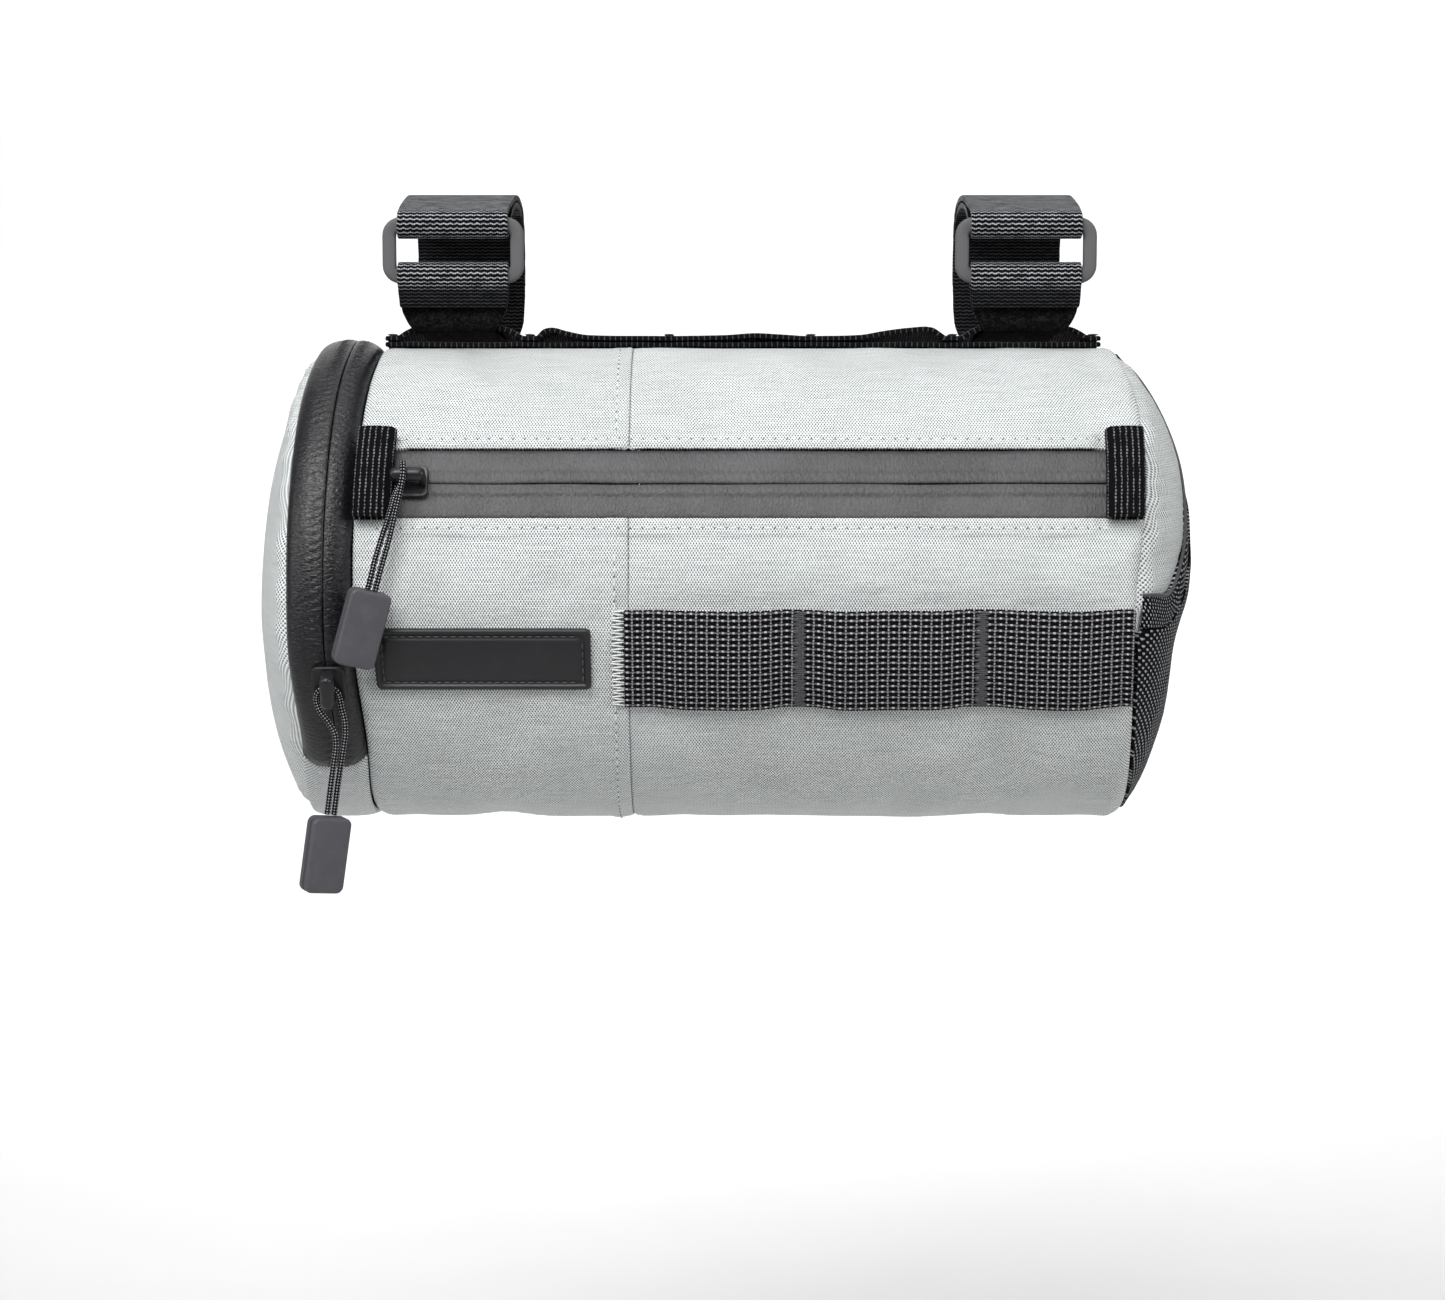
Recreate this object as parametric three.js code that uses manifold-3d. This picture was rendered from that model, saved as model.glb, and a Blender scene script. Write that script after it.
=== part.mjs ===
// Bicycle handlebar bag, in millimetres, +Z up, front towards -Y
// The origin is the axis of the handlebar, midway between the two straps
import * as THREE from 'three';
import { mergeVertices } from 'three/addons/utils/BufferGeometryUtils.js';
import Module from 'manifold-3d';

const wasm = await Module();
wasm.setup();

// Clearance between pieces that touch on the real bag
const gap = 0.3;

// Handlebar space and the way that the bag hangs under it
const barRadius = 14;
const hangAngle = 100;
const hangClearance = 9.8;

// Barrel of the bag, along X
const barrelRadius = 62;
const barrelWall = 2.4;
const leftSeamX = -96.5;
const rightSeamX = 100.5;
const middleSeamX = -28;
const seamRoll = 1.6;
const seamRollReach = 3;

// Front zip
const zipAngle = 29.6;
const zipWidth = 19.5;
const tapeRecess = 1;
const tapeThickness = 1.6;
const frontSliderX = -83.1;

// Webbing loops at the ends of the front zip
const zipTabWidth = 25.4;
const zipTabLength = 8;
const zipTabRise = 4.1;
const zipTabLean = 0.3;

// Sliders, pull cords and pull tabs
const sliderLength = 9.8;
const sliderWidth = 8.6;
const sliderPlate = 1.3;
const bridgeRadius = 1.8;
const bridgeLength = 8.6;
const bridgePost = 1.4;
const sliderCorner = 1.6;
const sliderBevel = 0.4;
const cordDiameter = 1.5;
const tabWidth = 10.6;
const tabHeight = 19.4;
const tabThickness = 4.6;
const tabCorner = 1.6;
const tabBevel = 0.8;

// Lash webbing and label on the front
const lashAngle = -12.2;
const lashWidth = 25.4;
const lashThickness = 1.5;
const lashShift = -1;
const lashLoopRise = 1.3;
const labelX = -64.3;
const labelLength = 54;
const labelWidth = 16;
const labelThickness = 1.1;
const labelRim = 1.6;
const labelRimRise = 0.5;

// Side zip round the left end, and the fabric below it
const gussetWidth = 16.5;
const sideZipShare = 0.42;
const sideZipEndAngle = -41;
const sideZipRise = 2;
const gussetRise = 0.6;
const sideSliderX = -103;
const sideSliderAngle = -17.5;

// Domed ends
const endWall = 2.2;
const leftDomeDepth = 11.4;
const rightDomeDepth = 14.8;
const rightDomeLowerDepth = 11.7;

// Pocket on the right end
const pocketClearance = 1.2;
const pocketThickness = 1.6;
const pocketHemWidth = 9;
const pocketHemThickness = 2.1;
const pocketEndTurn = 3;

// Daisy chain of webbing on top
const daisyX = 0.5;
const daisyAngle = 101.5;
const daisyWidth = 25;
const daisyThickness = 1.6;
const daisyPitch = 38.1;
const daisyOverhang = 1.4;

// Straps and their rings
const strapX = 75.3;
const strapWidth = 29;
const strapThickness = 1.6;
const strapCornerRadius = 3;
const strapSkew = 2.4;
const tailLength = 7;
const flapLength = 8;
const flapClearance = 0.5;
const frontRunLean = 1.9;
const seatClearance = 0.05;
const loopSpare = 0.3;
const ringY = -18;
const ringUpperZ = 10;
const ringLowerZ = -3.6;
const ringBar = 3.8;
const ringSideBar = 3.6;
const ringThickness = 3.6;
const ringClearance = 0.5;
const ringCorner = 2.5;

// Fineness of the facets
const panelStep = 7.5;
const arcStep = 20;
const arcLength = 5;
const domeSegments = 32;
const cordSides = 8;
const cordSteps = 30;
const ringSides = 8;
const bridgeSides = 12;
const cornerSegments = 2;

const degrees = Math.PI / 180;
const hangDistance = barrelRadius + hangClearance + barRadius;
const axisY = hangDistance * Math.cos(hangAngle * degrees);
const axisZ = -hangDistance * Math.sin(hangAngle * degrees);
const zipHalfAngle = zipWidth / 2 / barrelRadius / degrees;
const gapAngle = gap / barrelRadius / degrees;

// How far the end seams bow out at each angle round the barrel
const seamBow = [
  { angle: -180, left: 0, right: 0 },
  { angle: -90, left: -0.8, right: 0 },
  { angle: -60, left: -0.8, right: -0.2 },
  { angle: -35, left: -1.6, right: -1.2 },
  { angle: -12, left: 0.2, right: -2 },
  { angle: 5, left: 0.3, right: -1.6 },
  { angle: 20, left: 0.2, right: 0.2 },
  { angle: 50, left: -0.8, right: 0.9 },
  { angle: 80, left: -2.4, right: -1.4 },
  { angle: 110, left: -1.8, right: -1.2 },
  { angle: 180, left: 0, right: 0 },
];

// Profile of the rolled edge beside an end seam, as shares of reach and roll
const rollRows = [
  { reach: 0, drop: 1 },
  { reach: 0.35, drop: 0.4 },
  { reach: 1, drop: 0 },
];

// Height of the side zip across the gusset, as shares of width and rise
const sideZipRows = [
  { across: 0, rise: -0.7 },
  { across: 0.12, rise: 0.35 },
  { across: sideZipShare, rise: 1 },
  { across: 0.75, rise: 0.85 },
  { across: 1, rise: -0.5 },
];

// Loops of the lash webbing, as shares of its length, with their lift
const lashRows = [
  { along: 0, lift: 0 },
  { along: 0.05, lift: 0 },
  { along: 0.11, lift: 0.9 },
  { along: 0.17, lift: 1 },
  { along: 0.27, lift: 0.85 },
  { along: 0.32, lift: 0 },
  { along: 0.37, lift: 0 },
  { along: 0.43, lift: 0.9 },
  { along: 0.52, lift: 1 },
  { along: 0.62, lift: 0.9 },
  { along: 0.68, lift: 0 },
  { along: 0.73, lift: 0 },
  { along: 0.8, lift: 0.8 },
  { along: 0.9, lift: 0.9 },
  { along: 0.96, lift: 0.2 },
  { along: 1, lift: 0 },
];

// Height of the daisy loops above their seat, as shares of pitch and rise,
// a table for each kind of loop
const strapLoop = [
  { along: 0.05, height: 0 },
  { along: 0.12, height: 0.65 },
  { along: 0.19, height: 1 },
  { along: 0.5, height: 1.04 },
  { along: 0.81, height: 1 },
  { along: 0.88, height: 0.65 },
  { along: 0.95, height: 0 },
];
const leftCrestLoop = [
  { along: 0.05, height: 0 },
  { along: 0.1, height: 0.7 },
  { along: 0.17, height: 0.88 },
  { along: 0.27, height: 0.5 },
  { along: 0.42, height: 0.1 },
  { along: 0.95, height: 0 },
];
const flatLoop = [
  { along: 0.05, height: 0 },
  { along: 0.4, height: 0.1 },
  { along: 0.6, height: 0.3 },
  { along: 0.75, height: 0.2 },
  { along: 0.95, height: 0 },
];
const rightCrestLoop = [
  { along: 0.05, height: 0 },
  { along: 0.35, height: 0.12 },
  { along: 0.52, height: 0.55 },
  { along: 0.7, height: 0.88 },
  { along: 0.85, height: 0.92 },
  { along: 0.95, height: 0 },
];
const daisyLoopKinds = [strapLoop, leftCrestLoop, flatLoop, rightCrestLoop, strapLoop];

// Opening edge of the side pocket on the end, as shares of the barrel radius
const pocketEdge = [
  { back: -0.965, up: 0.05 },
  { back: -0.84, up: 0.06 },
  { back: -0.62, up: 0.27 },
  { back: -0.36, up: 0.55 },
  { back: -0.13, up: 0.79 },
  { back: 0, up: 0.955 },
];

// Places between the hem and the rim of the pocket, closer together towards the rim
const pocketShares = [0, 0.22, 0.42, 0.6, 0.75, 0.87, 0.95, 1];

// Domed ends: fullness of the upper and lower half
const leftDome = {
  depth: leftDomeDepth, upperPower: 1.9, lowerPower: 2.8, lowerDepth: leftDomeDepth,
  blendFrom: -0.5, blendTo: 0.3,
};
const rightDome = {
  depth: rightDomeDepth, upperPower: 3.6, lowerPower: 3, lowerDepth: rightDomeLowerDepth,
  blendFrom: -0.26, blendTo: 0.03,
};

// Route of the front pull cord, from the tab under the bridge and back
const frontCordRoute = [
  [-92.1, -83.5, -79.3],
  [-91.3, -83.4, -76.4],
  [-90.4, -82.1, -72.4],
  [-88.9, -79.8, -67],
  [-87.3, -77.4, -61.8],
  [-86.2, -73.9, -57.3],
  [-85.4, -71.6, -54.8],
  [-84.9, -70.3, -53.1],
  [-84.7, -70, -51.6],
  [-84.5, -70.4, -50.2],
  [-84.3, -71.4, -49.2],
  [-84.1, -72.9, -48.8],
  [-83.9, -74.3, -49.2],
  [-83.8, -75.3, -50.2],
  [-83.9, -76, -52],
  [-84.4, -76.8, -55],
  [-85.6, -78.4, -60.5],
  [-87, -80.2, -67],
  [-88.6, -81.8, -73],
  [-89.6, -82.7, -76.9],
  [-90.4, -82.9, -79.8],
];

// Route of the side pull cord, from the tab under the bridge and back
const sideCordRoute = [
  [-103.55, -78.4, -136.6],
  [-103.1, -78.4, -133.5],
  [-102.4, -78.4, -128.5],
  [-101.7, -78.4, -123.7],
  [-101.1, -78.3, -119.5],
  [-101.4, -78.1, -116.2],
  [-103, -77.9, -113.3],
  [-104.8, -77.7, -110.9],
  [-105.8, -77.6, -108.6],
  [-105.85, -77.7, -107.2],
  [-105.5, -78.1, -105.9],
  [-104.4, -78.4, -104.9],
  [-103, -78.6, -104.5],
  [-101.6, -78.4, -104.9],
  [-100.5, -78.1, -105.9],
  [-100.1, -77.7, -107.2],
  [-99.6, -77.6, -110],
  [-98.9, -77.6, -113],
  [-98.8, -77.6, -116.5],
  [-99.3, -77.6, -119.8],
  [-100, -77.5, -124],
  [-100.8, -77.4, -128.8],
  [-101.5, -77.4, -133.7],
  [-101.95, -77.4, -136.9],
];

// Places of the two pull tabs, with their turn and tilt in degrees
const frontTabPlace = { x: -93.9, y: -83.2, z: -89.1, turn: 20, tilt: 15.5 };
const sideTabPlace = { x: -104.2, y: -77.9, z: -146.9, turn: 32, tilt: 8.2 };

// Colours and finishes
const finishes = {
  lightFabric: { color: 0xd8dbda, roughness: 0.85, metalness: 0 },
  zipTape: { color: 0x5c5c5f, roughness: 0.6, metalness: 0 },
  sideTape: { color: 0x232427, roughness: 0.5, metalness: 0 },
  pocketFabric: { color: 0x2b2d2f, roughness: 0.8, metalness: 0 },
  webbing: { color: 0x2c2c2f, roughness: 0.8, metalness: 0 },
  rubber: { color: 0x35363a, roughness: 0.65, metalness: 0 },
  ring: { color: 0x5a5a5c, roughness: 0.4, metalness: 0 },
  slider: { color: 0x1c1c1f, roughness: 0.35, metalness: 0 },
  cord: { color: 0x1b1b1d, roughness: 0.8, metalness: 0 },
};

const bag = new THREE.Group();

function add(name, geometry, finish) {
  const mesh = new THREE.Mesh(geometry, new THREE.MeshStandardMaterial(finish));
  mesh.name = name;
  bag.add(mesh);
  return mesh;
}

// Stations from one value to another, no further apart than step
function stations(from, to, step) {
  const count = Math.max(1, Math.ceil(Math.abs(to - from) / step));
  return Array.from({ length: count + 1 }, (unused, k) => from + ((to - from) * k) / count);
}

// Value of one column of a table at a place between its rows
function readTable(rows, placeColumn, valueColumn, place) {
  const last = rows[rows.length - 1];
  if (place <= rows[0][placeColumn]) return rows[0][valueColumn];
  if (place >= last[placeColumn]) return last[valueColumn];
  const k = rows.findIndex((row) => row[placeColumn] >= place);
  const before = rows[k - 1];
  const after = rows[k];
  const share = (place - before[placeColumn]) / (after[placeColumn] - before[placeColumn]);
  return before[valueColumn] + (after[valueColumn] - before[valueColumn]) * share;
}

// Box with a grid on its faces, each point moved to its place on the piece
// The directions along, across and outwards stay right-handed
function shapedSlab(along, across, place) {
  const slab = new THREE.BoxGeometry(1, 1, 1, along.length - 1, across.length - 1, 1);
  const points = slab.attributes.position;
  for (let k = 0; k < points.count; k += 1) {
    const a = along[Math.round((points.getX(k) + 0.5) * (along.length - 1))];
    const b = across[Math.round((points.getY(k) + 0.5) * (across.length - 1))];
    const spot = place(a, b, points.getZ(k) > 0);
    points.setXYZ(k, spot.x, spot.y, spot.z);
  }
  slab.computeVertexNormals();
  return slab;
}

// X moved with the bow of the end seams, fully at and past a seam
function bowed(x, angle) {
  const turned = ((((angle + 180) % 360) + 360) % 360) - 180;
  if (x < middleSeamX) {
    const share = Math.min(1, (middleSeamX - x) / (middleSeamX - leftSeamX));
    return x - readTable(seamBow, 'angle', 'left', turned) * share;
  }
  const share = Math.min(1, (x - middleSeamX) / (rightSeamX - middleSeamX));
  return x + readTable(seamBow, 'angle', 'right', turned) * share;
}

// Point round the barrel: the angle is 0 at the front and 90 on top
function onBarrel(x, angle, radius) {
  return new THREE.Vector3(
    bowed(x, angle),
    axisY - radius * Math.cos(angle * degrees),
    axisZ + radius * Math.sin(angle * degrees),
  );
}

// Drop of the fabric where it rolls into an end seam
function rollDrop(distance) {
  return seamRoll * readTable(rollRows, 'reach', 'drop', distance / seamRollReach);
}

function edgeStations(from, to) {
  const reaches = rollRows.map((row) => row.reach * seamRollReach);
  return [...reaches.map((r) => from + r), ...reaches.map((r) => to - r).reverse()];
}

// Barrel panel between two seams, open along the front zip
function barrelPanel(fromX, toX) {
  const start = zipAngle + zipHalfAngle;
  const end = 360 + zipAngle - zipHalfAngle;
  return shapedSlab(edgeStations(fromX, toX), stations(start, end, panelStep), (x, angle, outer) => {
    const radius = barrelRadius - rollDrop(Math.min(x - fromX, toX - x));
    return onBarrel(x, angle, outer ? radius : radius - barrelWall);
  });
}

add('body_panel_left', barrelPanel(leftSeamX, middleSeamX - gap / 2), finishes.lightFabric);
add('body_panel_right', barrelPanel(middleSeamX + gap / 2, rightSeamX), finishes.lightFabric);

// Half of the front zip tape, from its meeting line to the fabric edge
function frontTape(fromAngle, toAngle) {
  const along = [leftSeamX, leftSeamX + seamRollReach, middleSeamX, rightSeamX - seamRollReach, rightSeamX];
  return shapedSlab(along, stations(fromAngle, toAngle, zipHalfAngle / 2), (x, angle, outer) => {
    const distance = Math.min(x - leftSeamX, rightSeamX - x);
    const radius = barrelRadius - tapeRecess - rollDrop(distance);
    return onBarrel(x, angle, outer ? radius : radius - tapeThickness);
  });
}

const zipTop = zipAngle + zipHalfAngle - gapAngle;
const zipBottom = zipAngle - zipHalfAngle + gapAngle;
add('front_zip_tape_upper', frontTape(zipAngle + gapAngle / 2, zipTop), finishes.zipTape);
add('front_zip_tape_lower', frontTape(zipBottom, zipAngle - gapAngle / 2), finishes.zipTape);

// Side zip and lower gusset: rings of fabric between the left seam and the left end
function gussetStrip(fromShare, toShare, fromAngle, toAngle, rise) {
  const shares = sideZipRows.map((row) => row.across).filter((s) => s > fromShare && s < toShare);
  const across = [toShare, ...shares.reverse(), fromShare];
  return shapedSlab(across, stations(fromAngle, toAngle, panelStep), (share, angle, outer) => {
    const x = leftSeamX - gap - share * (gussetWidth - gap);
    const height = readTable(sideZipRows, 'across', 'rise', share) * rise;
    const radius = barrelRadius + height;
    return onBarrel(x, angle, outer ? radius : radius - barrelWall);
  });
}

const sideZipStart = sideZipEndAngle;
const sideZipFinish = 180 - sideZipEndAngle;
const tapeGapShare = gap / 2 / gussetWidth;
add(
  'side_zip_tape_inner',
  gussetStrip(0, sideZipShare - tapeGapShare, sideZipStart, sideZipFinish, sideZipRise),
  finishes.sideTape,
);
add(
  'side_zip_tape_outer',
  gussetStrip(sideZipShare + tapeGapShare, 1, sideZipStart, sideZipFinish, sideZipRise),
  finishes.sideTape,
);
add(
  'gusset_lower',
  gussetStrip(0, 1, sideZipFinish + gapAngle, 360 + sideZipStart - gapAngle, gussetRise),
  finishes.lightFabric,
);

// Depth of a domed end at a place on it, up and back being measured from the barrel axis
function domeDepth(dome, back, up, radius, depthLess) {
  const share = Math.min(1, Math.hypot(back, up) / radius);
  const blend = THREE.MathUtils.smoothstep(up / barrelRadius, dome.blendFrom, dome.blendTo);
  const upper = (dome.depth - depthLess) * (1 - share ** dome.upperPower);
  const lower = (dome.lowerDepth - depthLess) * (1 - share ** dome.lowerPower);
  return lower + (upper - lower) * blend;
}

const domeRadius = barrelRadius - seamRoll;

// X of the seam plane of an end, bowed fully at the rim and not at the middle
function endPlane(side, back, up) {
  const angle = Math.atan2(up, -back) / degrees;
  const share = Math.min(1, Math.hypot(back, up) / domeRadius);
  const seam = side < 0 ? leftSeamX - gussetWidth - gap : rightSeamX + gap;
  return seam + (bowed(seam, angle) - seam) * share ** 2;
}

// Domed end panel, a lathe shape round the barrel axis with its depth set point by point
function endPanel(side, dome) {
  const outerShares = [0, 0.3, 0.55, 0.75, 0.9, 1];
  const innerShares = [1, 0.85, 0.55, 0];
  const profile = [
    ...outerShares.map((s) => new THREE.Vector2(s * domeRadius, 1)),
    ...innerShares.map((s) => new THREE.Vector2(s * (domeRadius - endWall), -1)),
  ];
  const panel = new THREE.LatheGeometry(profile, domeSegments);
  const points = panel.attributes.position;
  for (let k = 0; k < points.count; k += 1) {
    const outer = points.getY(k) > 0;
    const back = points.getX(k);
    const up = points.getZ(k) * side;
    const radius = outer ? domeRadius : domeRadius - endWall;
    const depth = domeDepth(dome, back, up, radius, outer ? 0 : endWall);
    points.setXYZ(k, endPlane(side, back, up) + side * depth, axisY + back, axisZ + up);
  }
  panel.computeVertexNormals();
  return panel;
}

add('end_panel_left', endPanel(-1, leftDome), finishes.lightFabric);
add('end_panel_right', endPanel(1, rightDome), finishes.lightFabric);

// Edge of the pocket as a smooth curve on the end, and the same curve below its hem
const edgeCurve = new THREE.SplineCurve(
  pocketEdge.map((row) => new THREE.Vector2(row.back * domeRadius, row.up * domeRadius)),
);

function belowEdge(share, distance) {
  const tangent = edgeCurve.getTangent(share);
  const spot = edgeCurve.getPoint(share);
  return new THREE.Vector2(spot.x + tangent.y * distance, spot.y - tangent.x * distance);
}

// Point of the pocket cloth over the domed end
function onPocket(flat, height) {
  const x = endPlane(1, flat.x, flat.y) + domeDepth(rightDome, flat.x, flat.y, domeRadius, 0) + height;
  return new THREE.Vector3(x, axisY + flat.x, axisZ + flat.y);
}

function pocketHem() {
  return shapedSlab([0, 1], stations(0, 1, 0.07), (across, share, outer) => {
    const flat = belowEdge(share, across * pocketHemWidth);
    if (flat.length() > domeRadius) flat.setLength(domeRadius);
    return onPocket(flat, pocketClearance + (outer ? pocketHemThickness : 0));
  });
}

function pocketBody() {
  const first = belowEdge(0, pocketHemWidth + gap);
  const last = belowEdge(1, pocketHemWidth + gap);
  const firstAngle = Math.atan2(first.y, -first.x) - pocketEndTurn * degrees;
  const lastAngle = Math.atan2(last.y, -last.x) - 2 * Math.PI + pocketEndTurn * degrees;
  return shapedSlab(pocketShares, stations(0, 1, 0.05), (out, share, outer) => {
    const top = belowEdge(share, pocketHemWidth + gap);
    if (top.length() > domeRadius - gap) top.setLength(domeRadius - gap);
    const angle = firstAngle + (lastAngle - firstAngle) * share;
    const rim = new THREE.Vector2(-Math.cos(angle), Math.sin(angle)).multiplyScalar(domeRadius);
    return onPocket(top.lerp(rim, out), pocketClearance + (outer ? pocketThickness : 0));
  });
}

add('side_pocket_hem', pocketHem(), finishes.pocketFabric);
add('side_pocket', pocketBody(), finishes.pocketFabric);

// Strip that follows a profile of lengths and heights and is wrapped round the barrel
function wrappedStrip(profile, thickness, angle, width) {
  const half = width / 2 / barrelRadius / degrees;
  const along = profile.map((unused, k) => k);
  return shapedSlab(along, stations(angle - half, angle + half, half / 2), (k, at, outer) => {
    const height = profile[k].height + (outer ? thickness : 0);
    return onBarrel(profile[k].x, at, barrelRadius + height);
  });
}

// Lash webbing from the middle seam to the right seam
const lashFrom = middleSeamX + lashShift;
const lashTo = rightSeamX + lashShift;
const lashProfile = lashRows.map((row) => ({
  x: lashFrom + row.along * (lashTo - lashFrom),
  height: gap + row.lift * lashLoopRise,
}));
add('lash_webbing', wrappedStrip(lashProfile, lashThickness, lashAngle, lashWidth), finishes.webbing);

// Label patch: a plate with a raised rim
function labelPatch() {
  const half = labelWidth / 2;
  const slope = labelRimRise;
  const across = [-half, -half + labelRim, -half + labelRim + slope];
  const acrossAll = [...across, 0, ...across.map((u) => -u).reverse()];
  const end = labelLength / 2;
  const along = [-end, -end + labelRim, -end + labelRim + slope];
  const alongAll = [...along, ...along.map((x) => -x).reverse()];
  return shapedSlab(alongAll, acrossAll, (x, u, outer) => {
    const onRim = Math.abs(u) >= half - labelRim - 0.01 || Math.abs(x) >= end - labelRim - 0.01;
    const height = gap + (outer ? labelThickness + (onRim ? labelRimRise : 0) : 0);
    return onBarrel(labelX + x, lashAngle + u / barrelRadius / degrees, barrelRadius + height);
  });
}

add('label_patch', labelPatch(), finishes.rubber);

// Route round circles and points as a belt runs, with the turn +1 for left and -1 for right
function beltRoute(turns) {
  const points = [];
  const headings = turns.slice(1).map((to, k) => {
    const from = turns[k];
    const slant = (to.radius * to.turn - from.radius * from.turn) / Math.hypot(to.y - from.y, to.z - from.z);
    return Math.atan2(to.z - from.z, to.y - from.y) - Math.asin(slant);
  });
  turns.forEach((circle, k) => {
    const heading = headings[Math.max(0, k - 1)];
    const next = headings[Math.min(k, headings.length - 1)];
    const full = 2 * Math.PI;
    const swing = circle.radius > 0 ? (((next - heading) * circle.turn) % full + full) % full : 0;
    const step = Math.min(arcStep * degrees, arcLength / Math.max(circle.radius, 1));
    const steps = Math.max(1, Math.ceil(swing / step));
    for (let s = 0; s <= (swing > 0 ? steps : 0); s += 1) {
      const at = heading + (circle.turn * swing * s) / steps;
      points.push({
        y: circle.y + circle.radius * circle.turn * Math.sin(at),
        z: circle.z - circle.radius * circle.turn * Math.cos(at),
      });
    }
  });
  return points;
}

// Direction to the left of a route at one of its points, in mitred length
function leftNormal(route, k) {
  const normals = [k - 1, k]
    .filter((s) => s >= 0 && s + 1 < route.length)
    .map((s) => new THREE.Vector2(route[s].z - route[s + 1].z, route[s + 1].y - route[s].y).normalize());
  const first = normals[0];
  const last = normals[normals.length - 1];
  return first.clone().add(last).divideScalar(1 + first.dot(last));
}

// Webbing folded into a loop with both ends in the end seam
function zipTab(side) {
  const seam = side < 0 ? leftSeamX : rightSeamX;
  const half = lashThickness / 2;
  const bend = (zipTabRise - lashThickness) / 2;
  const low = gap + half;
  const straight = zipTabLength - bend - half;
  const route = beltRoute([
    { y: 0, z: low, radius: 0, turn: 1 },
    { y: straight, z: low + bend, radius: bend, turn: 1 },
    { y: zipTabLean, z: low + 2 * bend, radius: 0, turn: 1 },
  ]);
  const halfAngle = zipTabWidth / 2 / barrelRadius / degrees;
  const angles = stations(zipAngle - halfAngle, zipAngle + halfAngle, halfAngle / 2);
  return shapedSlab(side < 0 ? [...route.keys()] : [...route.keys()].reverse(), angles, (k, at, upper) => {
    const normal = leftNormal(route, k).multiplyScalar(upper ? half : -half);
    const spot = route[k];
    return onBarrel(seam - side * (spot.y + normal.x), at, barrelRadius + spot.z + normal.y);
  });
}

add('zip_tab_left', zipTab(-1), finishes.webbing);
add('zip_tab_right', zipTab(1), finishes.webbing);

// Daisy chain: a flat base and an upper layer that rises into loops
const loopCount = daisyLoopKinds.length;
const daisyStart = daisyX - (loopCount * daisyPitch) / 2;
const daisyEnds = { from: daisyStart - daisyOverhang, to: daisyStart + loopCount * daisyPitch + daisyOverhang };
const daisySeat = gap + daisyThickness + gap;
const loopRise = strapThickness + 2 * gap + loopSpare;
const baseProfile = stations(daisyEnds.from, daisyEnds.to, daisyPitch).map((x) => ({ x, height: gap }));
add('daisy_base', wrappedStrip(baseProfile, daisyThickness, daisyAngle, daisyWidth), finishes.webbing);

const loopProfile = [
  { x: daisyEnds.from, height: daisySeat },
  ...daisyLoopKinds.flatMap((rows, k) => rows.map((row) => ({
    x: daisyStart + (k + row.along) * daisyPitch,
    height: daisySeat + row.height * loopRise,
  }))),
  { x: daisyEnds.to, height: daisySeat },
];
add('daisy_loops', wrappedStrip(loopProfile, daisyThickness, daisyAngle, daisyWidth), finishes.webbing);

// Strap: from a flap over the ring's lower bar, down the front, through a daisy loop,
// up the back, over the bar, round the ring's upper bar and back over the top
const strapHalf = strapThickness / 2;
const wrapRadius = ringBar / 2 + gap + strapHalf;
const innerRadius = barRadius + gap + strapHalf;
const tailRadius = innerRadius + strapThickness + gap;
const seatRadius = barrelRadius + daisySeat + strapHalf;
const frontRunY = ringY + wrapRadius - frontRunLean;
const flapY = frontRunY - strapThickness - flapClearance;
const cornerReach = seatRadius + strapCornerRadius + seatClearance;

function cornerZ(y) {
  return axisZ + Math.sqrt(cornerReach ** 2 - (y - axisY) ** 2);
}

const frontCornerY = frontRunY + strapCornerRadius;
const backCornerY = innerRadius - strapCornerRadius;
const strapRoute = beltRoute([
  { y: flapY, z: ringLowerZ - flapLength, radius: 0, turn: 1 },
  { y: ringY, z: ringLowerZ, radius: wrapRadius, turn: -1 },
  { y: frontCornerY, z: cornerZ(frontCornerY), radius: strapCornerRadius, turn: 1 },
  { y: axisY, z: axisZ, radius: seatRadius, turn: -1 },
  { y: backCornerY, z: cornerZ(backCornerY), radius: strapCornerRadius, turn: 1 },
  { y: 0, z: 0, radius: innerRadius, turn: 1 },
  { y: ringY, z: ringUpperZ, radius: wrapRadius, turn: -1 },
  { y: 0, z: 0, radius: tailRadius, turn: -1 },
  { y: tailRadius, z: -tailLength, radius: 0, turn: 1 },
]);

// Width of the strap by height above its seat on the bag, as shares
const strapWidths = [
  { height: 0, width: 0.72 },
  { height: 2.5, width: 0.86 },
  { height: 6, width: 0.96 },
  { height: 13, width: 1 },
];
const strapBottom = Math.min(...strapRoute.map((p) => p.z));

function strap(side) {
  return shapedSlab([...strapRoute.keys()], [-1, 1], (k, edge, right) => {
    const spot = strapRoute[k];
    const normal = leftNormal(strapRoute, k).multiplyScalar(right ? -strapHalf : strapHalf);
    const seatZ = Math.max(strapBottom, axisZ + Math.sqrt(Math.max(0, seatRadius ** 2 - (spot.y - axisY) ** 2)));
    const width = readTable(strapWidths, 'height', 'width', spot.z - seatZ) * strapWidth;
    const skew = -side * strapSkew * THREE.MathUtils.smoothstep(spot.y, ringY, innerRadius);
    const x = side * strapX + skew + (edge * width) / 2;
    return new THREE.Vector3(x, spot.y + normal.x, spot.z + normal.y);
  });
}

add('strap_left', strap(-1), finishes.webbing);
add('strap_right', strap(1), finishes.webbing);

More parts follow.
